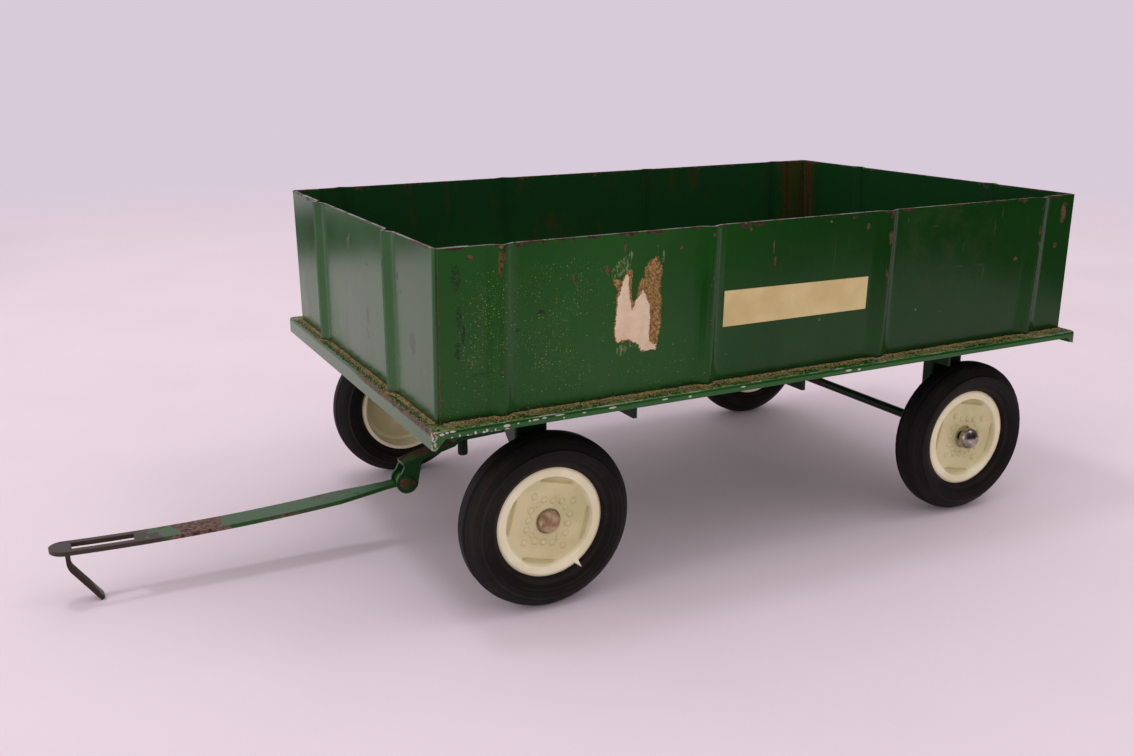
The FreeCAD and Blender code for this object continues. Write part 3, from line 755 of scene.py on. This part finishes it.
def deck_dust(s):
    """Grainy dust on the ledge: thick against the box, thin towards the edge."""
    lie = s.noise(4, 5, 0.4, roughness=0.7)
    speckle = s.noise(0.5, 3, 2.9)
    side = nearest(abs(s.y), [face_y_low]) * (1 / (9 * MM))
    ahead = (s.x - front_face_x).rise(0, 9 * MM) * 0.16
    return s.face_z.rise(0.7, 0.95) \
        * (lie + speckle * 0.5 - side * 0.10 - ahead).rise(0.62, 0.78)


def deck_bare(s):
    """Specks along the left flange, worn places on its upper edge and the front corners."""
    left = s.face_y.rise(0.3, 0.7)
    bite = s.noise(0.6, 4, 0.8, roughness=0.7)
    worn = s.noise(4, 4, 4.1, (0.6, 1, 1))
    chips = s.spot(flange_chips, bite, 0.3, 3) * left
    edge = (deck_top - 0.35 * MM - s.z).fall(-0.2 * MM, 0.1 * MM) * s.face_z.fall(0.8, 0.98)
    rubbed = edge * (worn + bite * 0.5).rise(0.76, 0.86) * s.face_y.rise(0.1, 0.4) * 0.32
    ahead, aside = abs(s.x - box_mid_x) - (deck_high.x - box_mid_x), abs(s.y) - deck_high.y
    corner = oval(ahead, aside, 2.2 * MM, 2.2 * MM).fall(0.1, 0.7) \
        * bite.rise(0.46, 0.58) * s.x.rise(0, 0.02)
    return rubbed.top(chips * 0.68).top(corner * 0.60)


def deck_rust(s):
    """A dark red heart in the worn front left corner."""
    heart = oval(s.x - deck_high.x + 0.5 * MM, s.z - deck_top + 0.9 * MM, 0.8 * MM, MM)
    return (heart + s.noise(0.5, 3, 1.5)).fall(0.9, 1.3) * s.y.rise(0, 0.02)


# %% Rust below the deck
def gear_rust(s):
    """Thin blots, the same on every bracket and sill."""
    return s.noise(7, 4, 2.2).rise(0.60, 0.66)


def pole_rust(s):
    """Rust on the faces of the pole bracket that look up, thickest in patches."""
    patch = s.noise(6, 4, 5.2)
    return s.face_z.rise(0.6, 0.9) * patch.rise(0.34, 0.50) * 0.9


def strip_rust(s):
    """Rust in long patches on the drawbar, one of them at its middle, and along its edges."""
    patch = s.noise(13, 4, 5.2, (0.6, 1, 1))
    middle = abs(s.x - 117 * MM).fall(3 * MM, 10 * MM)
    lower = abs(s.face_y).rise(0.5, 0.8) * 0.10
    return (patch + middle * 0.24 + lower).rise(0.56, 0.62)


def strip_tip(s):
    """Dark brown rust round the slot and on the hook, with a little green left in it."""
    patch = s.noise(3, 4, 6.6)
    slot = s.x.rise(122 * MM, 140 * MM) * 0.40
    hook = s.z.fall(9 * MM, 12 * MM) * 0.3
    return (patch + slot.top(hook)).rise(0.62, 0.72)


def rivet_rust(s):
    """Rust over half of the rivet's small head."""
    return s.noise(1.7, 3, 3.3).rise(0.50, 0.57)


# %% Enamel below the box
# Painted shade: the brackets hang in the deck's shade, so they are painted near black green.
shaded_gear_greens = (paint(10, 33, 14), paint(15, 45, 20))
brown = (paint(46, 24, 16), paint(84, 54, 38))
red_brown = (paint(60, 36, 28), paint(116, 88, 78))
enamel_deck = enamel("enamel_deck", rust=deck_rust, bare=deck_bare, dust=deck_dust, inner=green)
enamel_gear = enamel("enamel_gear", rust=gear_rust, rough=0.25, gloss=0.2, tones=shaded_gear_greens,
                     inner=shaded_gear_greens[0], rusts=brown)
enamel_pole = enamel("enamel_pole", rust=pole_rust, rough=0.25, gloss=0.35, rusts=brown)
enamel_rivet = enamel("enamel_rivet", rust=rivet_rust, rough=0.3, gloss=0.3,
                      inner=green_deep, rusts=brown)
enamel_strip = enamel("enamel_strip", rust=strip_rust, bare=strip_tip, rough=0.15, gloss=0.4,
                      inner=green_deep, bare_colour=paint(56, 40, 31), rusts=red_brown)
print("enamel below:", enamel_deck.name, enamel_gear.name, enamel_pole.name, enamel_strip.name)

# %% [markdown]
# ## Steel, rubber, plastic and paper
#
# The smaller finishes are plain: two tones in blots of one size, and a fine grain in shine
# and height. Wheels change in rings. Rubber is rubbed brown along rings as it rolls, and a
# rim's set back disc is painted darker and yellower than its pale outer ring: painted shade
# in the recess. So for these two the distance from the axle is worked out first.

# %% Small finishes
def mottled(name, size, tones, rough, lift, strength, metal=0, **constants):
    """Blots of two tones. `tones` can also be a function of surface and blots, for a colour."""
    s = Surface(name)
    blot = s.noise(size, 4, 0.6)
    fine = s.noise(0.7, 3, 0.2)
    colour = tones(s, blot) if callable(tones) else blot.rise(0.32, 0.70).blend(*tones)
    return s.finish(colour, rough + 0.2 * fine, blot + fine, lift, strength, metal, **constants)


rust_finish = mottled("rusty_steel", 1.3, (paint(138, 108, 78), paint(188, 164, 134)), 0.45,
                      0.08 * MM, 0.7, 0.3)
bright_finish = mottled("bright_steel", 1.6, (paint(150, 138, 128), paint(206, 198, 190)),
                        0.2, 0.02 * MM, 0.4, 1)
label_finish = mottled("yellowed_label", 8, (paint(196, 176, 119), paint(210, 192, 139)),
                       0.36, 0.02 * MM, 0.3)
paper_finish = mottled("torn_paper", 3, (paint(202, 179, 151), paint(217, 197, 172)), 0.8,
                       0.06 * MM, 0.5)
glue_finish = mottled("old_glue", 0.45, (paint(88, 62, 26), paint(166, 130, 68)), 0.6,
                      0.12 * MM, 0.8)
dust_finish = mottled("field_dust", 0.4, (paint(74, 66, 34), paint(156, 138, 90)), 0.9,
                      0.15 * MM, 0.7)
print("small finishes:", rust_finish.name, label_finish.name, dust_finish.name)

# %% Rubber and ivory plastic
wheels = {"%s_%s" % (end, side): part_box("rim_%s_%s" % (end, side))
          for end in ("front", "rear") for side in ("left", "right")}
axle_x = [(low.x + high.x) / 2 for low, high in (wheels["front_left"], wheels["rear_left"])]
axle_z = (wheels["front_left"][0].z + wheels["front_left"][1].z) / 2
disc_r, disc_end_r = 12.2 * MM, 13.4 * MM


def from_axle(s):
    """Distance from the axle of whichever wheel the place is on."""
    across, up = nearest(s.x, axle_x), s.z - axle_z
    return s.node("Math", {"operation": "SQRT"}, {0: across * across + up * up})


def rubber_colour(s, blot):
    """Black rubber with faint brown rings where it has been rubbed."""
    ring = s.node("TexNoise", {"noise_dimensions": "1D"},
                  {"W": from_axle(s) * (1 / MM), "Scale": 0.9, "Detail": 3})
    worn = (ring * 0.6 + blot * 0.5).rise(0.50, 0.72)
    return worn.blend(paint(20, 17, 18), paint(37, 30, 27))


def ivory_colour(s, blot):
    """A pale ring, and a darker, yellower disc: painted shade in the set back disc."""
    light = blot.rise(0.32, 0.70)
    ring_tone = light.blend(paint(224, 216, 182), paint(238, 231, 203))
    disc_shade_tone = light.blend(paint(194, 185, 138), paint(211, 201, 158))
    return from_axle(s).fall(disc_r, disc_end_r).blend(ring_tone, disc_shade_tone)


rubber_finish = mottled("black_rubber", 7, rubber_colour, 0.50, 0.04 * MM, 0.35,
                        **{"Specular IOR Level": 0.16})
ivory_finish = mottled(
    "ivory_plastic", 7, ivory_colour, 0.34, 0.03 * MM, 0.3,
    **{"Subsurface Weight": 0.1, "Subsurface Radius": (1, 0.9, 0.45), "Subsurface Scale": MM})
print("wheel finishes:", rubber_finish.name, ivory_finish.name)

# %% [markdown]
# ## Finishes for the frame's own parts
#
# A part of the frame is never moved or reshaped. It only gets its material.

# %% Dress the frame
finish_of = {
    "box_side_left": enamel_left, "box_side_right": enamel_right, "box_front": enamel_front,
    "box_rear": enamel_rear, "deck": enamel_deck, "pole_bracket": enamel_pole,
    "drawbar": enamel_strip, "drawbar_rivet": enamel_rivet, "king_pin": enamel_gear,
    "stub_axle": rust_finish, "axle_cap": bright_finish, "rim": ivory_finish,
    "tyre": rubber_finish}
for name, node in nodes.items():
    fits = [key for key in finish_of if name.startswith(key)]
    chosen = finish_of[max(fits, key=len)] if fits else enamel_gear
    node.data.materials.clear()
    node.data.materials.append(chosen)
print("dressed", len(nodes), "nodes")

# %% [markdown]
# ## Surfaces from numbers
#
# A new piece is a grid of points worked out by a formula of two parameters. Its rows, its
# columns or both can close on themselves, as on a tyre, which does both.

# %% From a grid of points to a piece
def piece(name, points, faces, material, body, smooth):
    """Make a mesh object of points and faces that rides on a body of the frame.

    Edges that bend by more than `smooth` degrees stay sharp.
    """
    mesh = bpy.data.meshes.new(name)
    mesh.from_pydata(np.asarray(points).reshape(-1, 3), [], faces)
    mesh.validate()
    mesh.shade_smooth()
    mesh.set_sharp_from_angle(angle=math.radians(smooth))
    mesh.materials.append(material)
    made = bpy.data.objects.new(name, mesh)
    bpy.context.scene.collection.objects.link(made)
    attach(made, body)
    print("%-24s %7d faces" % (name, len(mesh.polygons)))
    return made


def grid_faces(rows, columns, wrap_rows=False, wrap_columns=False):
    """Four cornered faces between neighbours of a grid, as one array."""
    i = np.arange(rows if wrap_rows else rows - 1)[:, None]
    j = np.arange(columns if wrap_columns else columns - 1)[None, :]
    i2, j2 = (i + 1) % rows, (j + 1) % columns
    corners = (i * columns + j, i2 * columns + j, i2 * columns + j2, i * columns + j2)
    return np.stack([np.broadcast_to(c, (i.size, j.size)) for c in corners], -1).reshape(-1, 4)


def smooth_step(value, low, high):
    """0 below low, 1 above high, an S between: 3t^2 - 2t^3."""
    t = np.clip((value - low) / (high - low), 0, 1)
    return t * t * (3 - 2 * t)


tyre_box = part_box("tyre_front_left")
wheel_radius = (tyre_box[1].z - tyre_box[0].z) / 2
tyre_half = (tyre_box[1].y - tyre_box[0].y) / 2
track_half = (tyre_box[1].y + tyre_box[0].y) / 2


def turned(name, radius, out, angle):
    """Carry (radius, distance outwards) round the axle of one wheel, as x, y, z.

    A right wheel is the left one turned about the vertical, not mirrored, so its faces
    still point outwards.
    """
    low, high = wheels[name]
    side = 1 if name.endswith("left") else -1
    centre_x, centre_z = (low.x + high.x) / 2, (low.z + high.z) / 2
    return np.stack([centre_x + side * radius * np.cos(angle),
                     side * (track_half + out) + 0 * angle,
                     centre_z + radius * np.sin(angle)], -1)


# %% [markdown]
# ## Tyres
#
# The tyre is solid rubber from a two part mould. Its sidewall is smooth and slightly bulged
# up to a small step, then a shoulder band slopes in to the tread, which has grooves that run
# round it. The outline is one closed curve of (radius, distance outwards), carried round the
# axle. The tread radius is R minus a crown that grows as the third power of the distance
# from the middle, minus a narrow bell for each groove.

# %% Tyre outline and the four tyres
rim_r = (wheels["front_left"][1].z - wheels["front_left"][0].z) / 2
step_r = 21.5 * MM
step_width = 0.4 * MM
shoulder_r = 23.9 * MM
bead_out = 3.5 * MM
tread_half = 4.2 * MM
crown_drop = 1.5 * MM
groove_places = (-2.1 * MM, 2.1 * MM)
groove_depth, groove_half = 0.5 * MM, 0.38 * MM
scallops = 56


def sidewall(radius):
    """Distance outwards of the sidewall: a bulge to the step, then the sloping band."""
    rise = np.sin(np.clip((radius - rim_r) / (step_r - rim_r), 0, 1) * math.pi / 2)
    bulge = bead_out + (tyre_half - bead_out) * rise ** 0.8
    band = 0.55 * MM * smooth_step(radius, step_r, step_r + step_width)
    slope = 1.45 * MM * np.clip((radius - step_r) / (shoulder_r - step_r), 0, 1) ** 1.5
    return bulge - band - slope


def tread(out):
    """Radius of the tread at a distance from its middle: crown and grooves."""
    crown = crown_drop * (np.abs(out) / tread_half) ** 3
    groove = sum(groove_depth * np.exp(-((out - g) / groove_half) ** 4) for g in groove_places)
    return wheel_radius - crown - groove


side_r = np.concatenate(
    [np.linspace(rim_r, step_r - 0.1 * MM, 14), np.linspace(step_r, step_r + step_width, 5),
     np.linspace(step_r + 2 * step_width, shoulder_r, 7)])
across = np.linspace(tread_half, -tread_half, 41)
inner_r = side_r[::-1]
outline_r = np.concatenate([side_r, tread(across), inner_r, [rim_r, rim_r]])
outline_out = np.concatenate([sidewall(side_r), across, -sidewall(inner_r),
                              [-4.8 * MM, 3.3 * MM]])
turns = np.linspace(0, 2 * math.pi, 224, endpoint=False)
scallop = 0.05 * MM * np.sin(scallops * turns)[None, :]
edge_weight = np.exp(-((outline_r - (wheel_radius - 1.3 * MM)) / (0.6 * MM)) ** 2)[:, None]

for name in wheels:
    tyre_r = outline_r[:, None] - edge_weight * (0.05 * MM + scallop)
    rounds = turned(name, tyre_r, outline_out[:, None], turns[None, :])
    faces = grid_faces(len(outline_r), len(turns), True, True)[:, ::-1]
    tyre = piece("rubber_tyre_" + name, rounds, faces, rubber_finish, "wheel_" + name,
                 40)
    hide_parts("tyre_" + name)

# %% [markdown]
# ## Rims
#
# The rim is one plastic moulding. Its face is a height map: a raised ring, a set back disc,
# and where the disc's rounded square falls short of the ring, four crescent hollows. Domed
# bolt heads stand on the disc, sixteen round a square and four inside it. The height is a
# sum of smooth steps of the radius and of the square's own distance, plus a dome for each
# bolt, so one formula gives the whole moulding. A bolt is (across, up, radius, height) in
# millimetres. The profile then runs round the back, and closes on itself. One rim kept a nib
# of flash, where the mould's halves met at its edge.

# %% Rim height map and the four rims
ring_in = 13.3 * MM
square_half = 11.3 * MM
bore_r = 3.75 * MM
ring_out, disc_out = 3.4 * MM, 2.2 * MM
hollow_depth, lip_drop = 1.1 * MM, 0.35 * MM
hollow_half, hollow_end = 4.4 * MM, 5.6 * MM
corner_bolts = [(sx * 6.7, sy * 6.2) for sx in (-1, 1) for sy in (-1, 1)]
side_bolts = [(s * 6.1, t) for s in (-1, 1) for t in (-2.7, 0.1, 2.8)] + \
             [(t, s * 6.2) for s in (-1, 1) for t in (-2.6, 0.2, 3)]
inner_bolts = [(sx * 4.4, sy * 4.3) for sx in (-1, 1) for sy in (-1, 1)]
bolts = [(u, w, 0.95, 0.62) for u, w in corner_bolts + side_bolts] + \
        [(u, w, 0.75, 0.5) for u, w in inner_bolts]


def rim_face(radius, angle, twist):
    """Distance outwards of the rim's face at (radius, angle), for a rim turned by twist."""
    u = radius * np.cos(angle - twist)
    w = radius * np.sin(angle - twist)
    ring = smooth_step(radius, ring_in - 0.6 * MM, ring_in + 0.1 * MM)
    past_flat = np.maximum(np.abs(u), np.abs(w)) - square_half
    sideways = np.minimum(np.abs(u), np.abs(w))
    hollow = smooth_step(past_flat, -0.3 * MM, 0.3 * MM) * (1 - ring) \
        * (1 - smooth_step(sideways, hollow_half, hollow_end))
    lip = smooth_step(radius, rim_r - 0.8 * MM, rim_r)
    disc = disc_out + 0.25 * MM * smooth_step(radius, 4 * MM, 9 * MM)
    height = disc + (ring_out - disc) * ring - hollow_depth * hollow - lip_drop * lip
    for bolt_u, bolt_w, size, tall in bolts:
        near = 1 - ((u - bolt_u * MM) ** 2 + (w - bolt_w * MM) ** 2) / (size * MM) ** 2
        height = height + tall * MM * np.sqrt(np.clip(near, 0, 1))
    return height


rim_turns = np.linspace(0, 2 * math.pi, 288, endpoint=False)[None, :]
face_r = np.concatenate([np.linspace(bore_r, 9 * MM, 34), np.linspace(9.2 * MM, rim_r, 34)])
back = [(16.1, -4.7), (14.9, -4.8), (14.5, -2), (14, 0.4), (12, 0.7), (5, 0.7),
        (4.6, 0.2), (4.5, -5.4), (1.75, -5.5), (1.75, 1.2), (3.6, 1.3)]
rolled = {"front_left": 15, "rear_left": 12, "front_right": 40, "rear_right": 5}
back_r, back_out = np.array(back).T * MM
flash_angle = math.radians(238.7)
flash_half = 0.045
flash_rise, flash_out = MM, 2.3 * MM

for name in wheels:
    out_face = rim_face(face_r[:, None], rim_turns, math.radians(rolled[name] - 90))
    rim_out = np.concatenate([out_face, back_out[:, None] + 0 * rim_turns])
    round_r = np.concatenate([face_r, back_r])[:, None] + 0 * rim_turns
    if name == "front_left":
        nib = np.clip(1 - np.abs(rim_turns - flash_angle) / flash_half, 0, 1) \
            * smooth_step(face_r, rim_r - MM, rim_r)[:, None]
        round_r[:len(face_r)] += flash_rise * nib
        rim_out[:len(face_r)] += flash_out * nib
    rounds = turned(name, round_r, rim_out, rim_turns)
    faces = grid_faces(len(round_r), rim_turns.size, True, True)[:, ::-1]
    rim = piece("moulded_rim_" + name, rounds, faces, ivory_finish, "wheel_" + name,
                30)
    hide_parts("rim_" + name)

# %% [markdown]
# ## Labels
#
# Paper lies on the left side's sheet as a thin closed patch. A fine grid of cells is laid over
# the outline, and a cell is kept where its distance inside the outline, plus a ragged sum of
# sines, is above zero. Kept cells get a front and a back, and a rim runs round them. One
# label is whole and blank. The other was torn off: a tongue of bare paper with two prongs is
# left, in a brown patch of old glue.

# %% A closed sheet with a ragged edge
def inside_distance(x, z, outline):
    """Distance from points to a closed outline: above zero inside it, below zero outside."""
    nearest_edge = np.full(x.shape, np.inf)
    inside = np.zeros(x.shape, bool)
    for (ax, az), (bx, bz) in zip(outline, outline[1:] + outline[:1]):
        dx, dz = bx - ax, bz - az
        t = np.clip(((x - ax) * dx + (z - az) * dz) / (dx * dx + dz * dz), 0, 1)
        nearest_edge = np.minimum(nearest_edge, np.hypot(x - ax - t * dx, z - az - t * dz))
        crosses = (az > z) != (bz > z)
        inside ^= crosses & (x < ax + (z - az) * dx / (dz if dz else 1))
    return np.where(inside, nearest_edge, -nearest_edge)


def sheet_noise(x, z, seed, rates=(1.1, 1.9, 3.3, 5.6, 9.4, 15)):
    """A ragged sum of sines in seeded directions over the sheet, about -1 to 1."""
    random = np.random.default_rng(seed)
    total = 0 * x
    for rate in rates:
        for turn, phase in random.uniform(0, 6.28, (3, 2)):
            total = total + np.sin((x * math.cos(turn) + z * math.sin(turn)) * rate + phase)
    return total / (1.6 * len(rates)) ** 0.9


def closed_sheet(name, x, z, keep, thick, material):
    """Give the kept cells of a grid on the left side a front, a back and a rim round them."""
    rows, columns = x.shape
    flat = side_y(z * MM) / MM
    front = np.stack([x, flat + thick, z], -1).reshape(-1, 3)
    back = np.stack([x, flat - 0.02, z], -1).reshape(-1, 3)
    cells = grid_faces(rows, columns).reshape(rows - 1, columns - 1, 4)
    fronts = cells[keep]
    count = rows * columns
    around = np.pad(keep, 1)
    faces = [fronts, fronts[:, ::-1] + count]
    for side, (dr, dc) in enumerate(((0, -1), (1, 0), (0, 1), (-1, 0))):
        ring = cells[keep & ~around[1 + dr:rows + dr, 1 + dc:columns + dc]]
        one, two = ring[:, side], ring[:, (side + 1) % 4]
        faces.append(np.stack([one, one + count, two + count, two], -1))
    used, faces = np.unique(np.concatenate(faces), return_inverse=True)
    points = np.concatenate([front, back])[used] * MM
    return piece(name, points, faces.reshape(-1, 4).tolist(), material, "chassis",
                 40)


def torn(name, outline, thick, ragged, seed, material, cell=0.13, swell=0):
    """A patch with a torn edge, in millimetres. Cells that touch only by a corner are joined.

    Joining one pair of cells can part another, so it is done a few times over.
    """
    low, high = np.min(outline, 0) - 1, np.max(outline, 0) + 1
    x, z = np.meshgrid(np.arange(low[0], high[0], cell), np.arange(low[1], high[1], cell))
    mid_x, mid_z = x[:-1, :-1] + cell / 2, z[:-1, :-1] + cell / 2
    keep = inside_distance(mid_x, mid_z, outline) + ragged * sheet_noise(mid_x, mid_z, seed) > 0
    keep[[0, -1], :] = keep[:, [0, -1]] = False
    for _ in range(8):
        a, b, c, d = keep[:-1, :-1], keep[:-1, 1:], keep[1:, :-1], keep[1:, 1:]
        touching = (a & d & ~b & ~c) | (b & c & ~a & ~d)
        a |= touching
        b |= touching
    return closed_sheet(name, x, z, keep, thick + swell * sheet_noise(x, z, seed + 1), material)


# %% Label, torn paper and glue
label_rear, label_long = -70.7, 51.4
label_foot, label_head = 75.9, 85.8
label_cells = (13, 59)
label_up, along = np.meshgrid(*(np.linspace(0, 1, n + 1) for n in label_cells), indexing="ij")
label_x = label_rear + label_long * along
label_z = (label_foot + 0.1 * along) * (1 - label_up) + (label_head + 0.6 * along) * label_up
closed_sheet("blank_label", label_x, label_z, np.ones(label_cells, bool), 0.08, label_finish)
torn("torn_label", [
    (12.2, 94.2), (13.4, 92.1), (13.8, 90), (14.5, 88.4), (14.9, 86.5), (15.1, 84.1),
    (15.3, 81.4), (15.5, 78.6), (15.3, 76.9), (14.7, 75.7), (13.9, 75.6), (13.6, 76.2),
    (11, 76), (10, 75.4), (8.8, 75), (8, 74.2), (7.8, 73.3), (7.1, 72.4),
    (5.2, 72.4), (2.7, 72.3), (2.3, 73.8), (3.4, 73.8), (4.5, 74.2), (4.8, 75.1),
    (5, 77.9), (4.7, 79.3), (4.7, 81.8), (5.1, 84.7), (5.6, 86.4), (6.1, 87.8),
    (7.3, 89.6), (7.7, 88.3), (9.1, 86.8), (9.5, 86), (9.6, 84.9), (10.4, 84.3),
    (10.8, 85), (11.2, 87.8), (11.5, 89.7), (11.7, 93.3)], 0.14, 0.30, 5, paper_finish)
torn("glue_patch", [
    (16.4, 92.7), (15.5, 93), (13.7, 92.3), (13.4, 93.2), (12.5, 94.2), (11.7, 95.2),
    (10.7, 94.9), (10.4, 93.7), (10.7, 92.2), (11, 89.7), (10.8, 87.8), (10.4, 86.8),
    (9.4, 86.5), (8.8, 87.8), (8.5, 89.5), (8.3, 91.6), (7.6, 92.4), (6.6, 92.6),
    (6.7, 94.8), (6.3, 96.1), (5.3, 96.8), (4.4, 97.5), (3.5, 98.3), (2.8, 97.4),
    (2.1, 96.5), (1.6, 95.1), (1.4, 93.7), (1.5, 92.4), (1.8, 91.4), (1.8, 90.3),
    (2.1, 88.8), (1.4, 86.8), (1.1, 84.5), (1.2, 81.7), (1.2, 78.9), (1.7, 75.3),
    (2.1, 73.8), (2.7, 72.1), (7.1, 72.3), (8.1, 73.8), (8.8, 74.6), (11, 75.6),
    (13.8, 75.6), (14.7, 75.3), (15.5, 76.9), (15.6, 79.2), (15.4, 82.5), (15.3, 86),
    (15.1, 88.2), (14.8, 89.8), (15.5, 90.7), (16.4, 91.6)], 0.06, 0.55, 9, glue_finish,
     swell=0.02)

# %% [markdown]
# ## Dust along the foot of the box
#
# Khaki dust has caked where the box meets the deck. It is a low bead that follows the foot of
# the box, rib by rib. Its section is a hump over the distance from the box, whose width and
# height wander along the bead: both are sums of sines of the place along it. Loose grains lie
# about on the ledge, each a small closed ball with a bumpy radius.

# %% Bead of dust
bead_step = 0.35 * MM
ledge_gap = 0.3 * MM
sunk = 0.1 * MM
wave_rates = np.array([0.21, 0.53, 1.1, 2.3, 4.1, 7.3, 12]) / MM
wave_damping = np.array([1, 1, 1, 1.2, 1.4, 1.6, 2])
bead_across = np.array([-0.25, 0, 0.12, 0.3, 0.5, 0.7, 0.88, 1])
bead_hump = np.array([0.9, 1, 0.95, 0.8, 0.62, 0.42, 0.2, 0])


def dust_bead(name, flip, along_y, end, low, high, ribs, ledge):
    """A bead at the foot of a ribbed sheet, of wandering width and height.

    The foot stands at `end`, and further out at each rib. The right and the rear are worked
    out as the left and the front are, then turned over by a flip of -1. The bead stops short
    of the ledge's edge, and its ends sink into the ledge. It returns each place of the foot,
    and the way out from there.
    """
    along = np.arange(low, high, bead_step)
    foot = end + sum(np.clip(rib_height * (1 - np.abs(along - rib) / rib_half), 0, None)
                     for rib in ribs)
    waves = np.random.default_rng(len(name)).uniform(0, 6.28, (2, 7))
    wander = (np.sin(along[:, None, None] * wave_rates + waves) / wave_damping).sum(-1).T * 0.16
    wide = (1.2 + 0.9 * wander[0]).clip(0.3, 2.4)[:, None] * MM
    tall = (0.28 + 0.30 * wander[1]).clip(0.06, 0.7)[:, None] * MM
    out = np.minimum(foot[:, None] + wide * bead_across, ledge - ledge_gap)
    bumpy = 1 + 0.25 * np.sin(bead_across * 21 + along[:, None] * 5.1 / MM)
    z = deck_top + tall * bead_hump * bumpy
    z[:, -1] = deck_top - 0.02 * MM
    out = np.concatenate([out, out[:, -1:], out[:, :1]], 1)
    z = np.pad(z, ((0, 0), (0, 2)), constant_values=deck_top - sunk)
    z[[0, -1]] = deck_top - sunk / 2
    middle = box_mid_x if along_y else 0
    level = [along[:, None] + 0 * out, middle + flip * (out - middle)]
    points = np.stack([*(level[::-1] if along_y else level), z], -1)
    rows, columns = out.shape
    faces = grid_faces(rows, columns, False, True).tolist()
    faces += [list(range(columns))[::-1], list(range(rows * columns - columns, rows * columns))]
    # A flip turns the faces inside out, and so does a run along y.
    if (flip < 0) != along_y:
        faces = [face[::-1] for face in faces]
    piece(name, points, faces, dust_finish, "chassis", 60)
    places, ways = [along, middle + flip * (foot - middle)], [0 * along, 0 * along + flip]
    return np.stack(places[::-1] + ways[::-1] if along_y else places + ways, -1)


side_run = (face_y_low, side_low.x + 0.3 * MM, side_high.x - 0.3 * MM, rib_x, deck_high.y)
half_end = face_y_low - 1.5 * MM
rear_end, rear_ledge = 2 * box_mid_x - rear_face_x, 2 * box_mid_x - deck_low.x
feet = np.concatenate([
    dust_bead("dust_left", 1, False, *side_run),
    dust_bead("dust_right", -1, False, *side_run),
    dust_bead("dust_front", 1, True, front_face_x, -half_end, half_end, rib_y, deck_high.x),
    dust_bead("dust_rear", -1, True, rear_end, -half_end, half_end, rib_y, rear_ledge)])

# %% Loose grains
grains = 6000
edge_gap = 0.5 * MM
ball_sides = 5

chance = np.random.default_rng(31)
at = feet[chance.integers(0, len(feet), grains)]
away = chance.exponential(1.1, grains).clip(0.05, 4.2)[:, None] * MM
aside = chance.normal(0, 0.3, (grains, 2)) * MM
size = chance.uniform(0.10, 0.30, grains) * MM
ground = at[:, :2] + away * at[:, 2:] + aside
ground = ground.clip(np.array(deck_low)[:2] + edge_gap, np.array(deck_high)[:2] - edge_gap)
centre = np.concatenate([ground, (deck_top + size * 0.4)[:, None]], 1)

ball = [(0, 0, -1)]
for v in (-math.pi / 6, math.pi / 6):
    for u in np.linspace(0, 2 * math.pi, ball_sides, endpoint=False):
        ball.append((math.cos(v) * math.cos(u), math.cos(v) * math.sin(u), math.sin(v)))
ball.append((0, 0, 1))
bumps = 1 + chance.uniform(-0.25, 0.25, (grains, len(ball), 1))
points = centre[:, None, :] + np.array(ball) * bumps * size[:, None, None]

triangles = []
for low_a in range(1, ball_sides + 1):
    low_b = low_a % ball_sides + 1
    high_a, high_b = low_a + ball_sides, low_b + ball_sides
    triangles += [(0, low_b, low_a), (low_a, low_b, high_b), (low_a, high_b, high_a),
                  (len(ball) - 1, high_a, high_b)]
faces = np.array(triangles) + len(ball) * np.arange(grains)[:, None, None]
piece("dust_grains", points, faces.reshape(-1, 3).tolist(), dust_finish, "chassis",
      60)
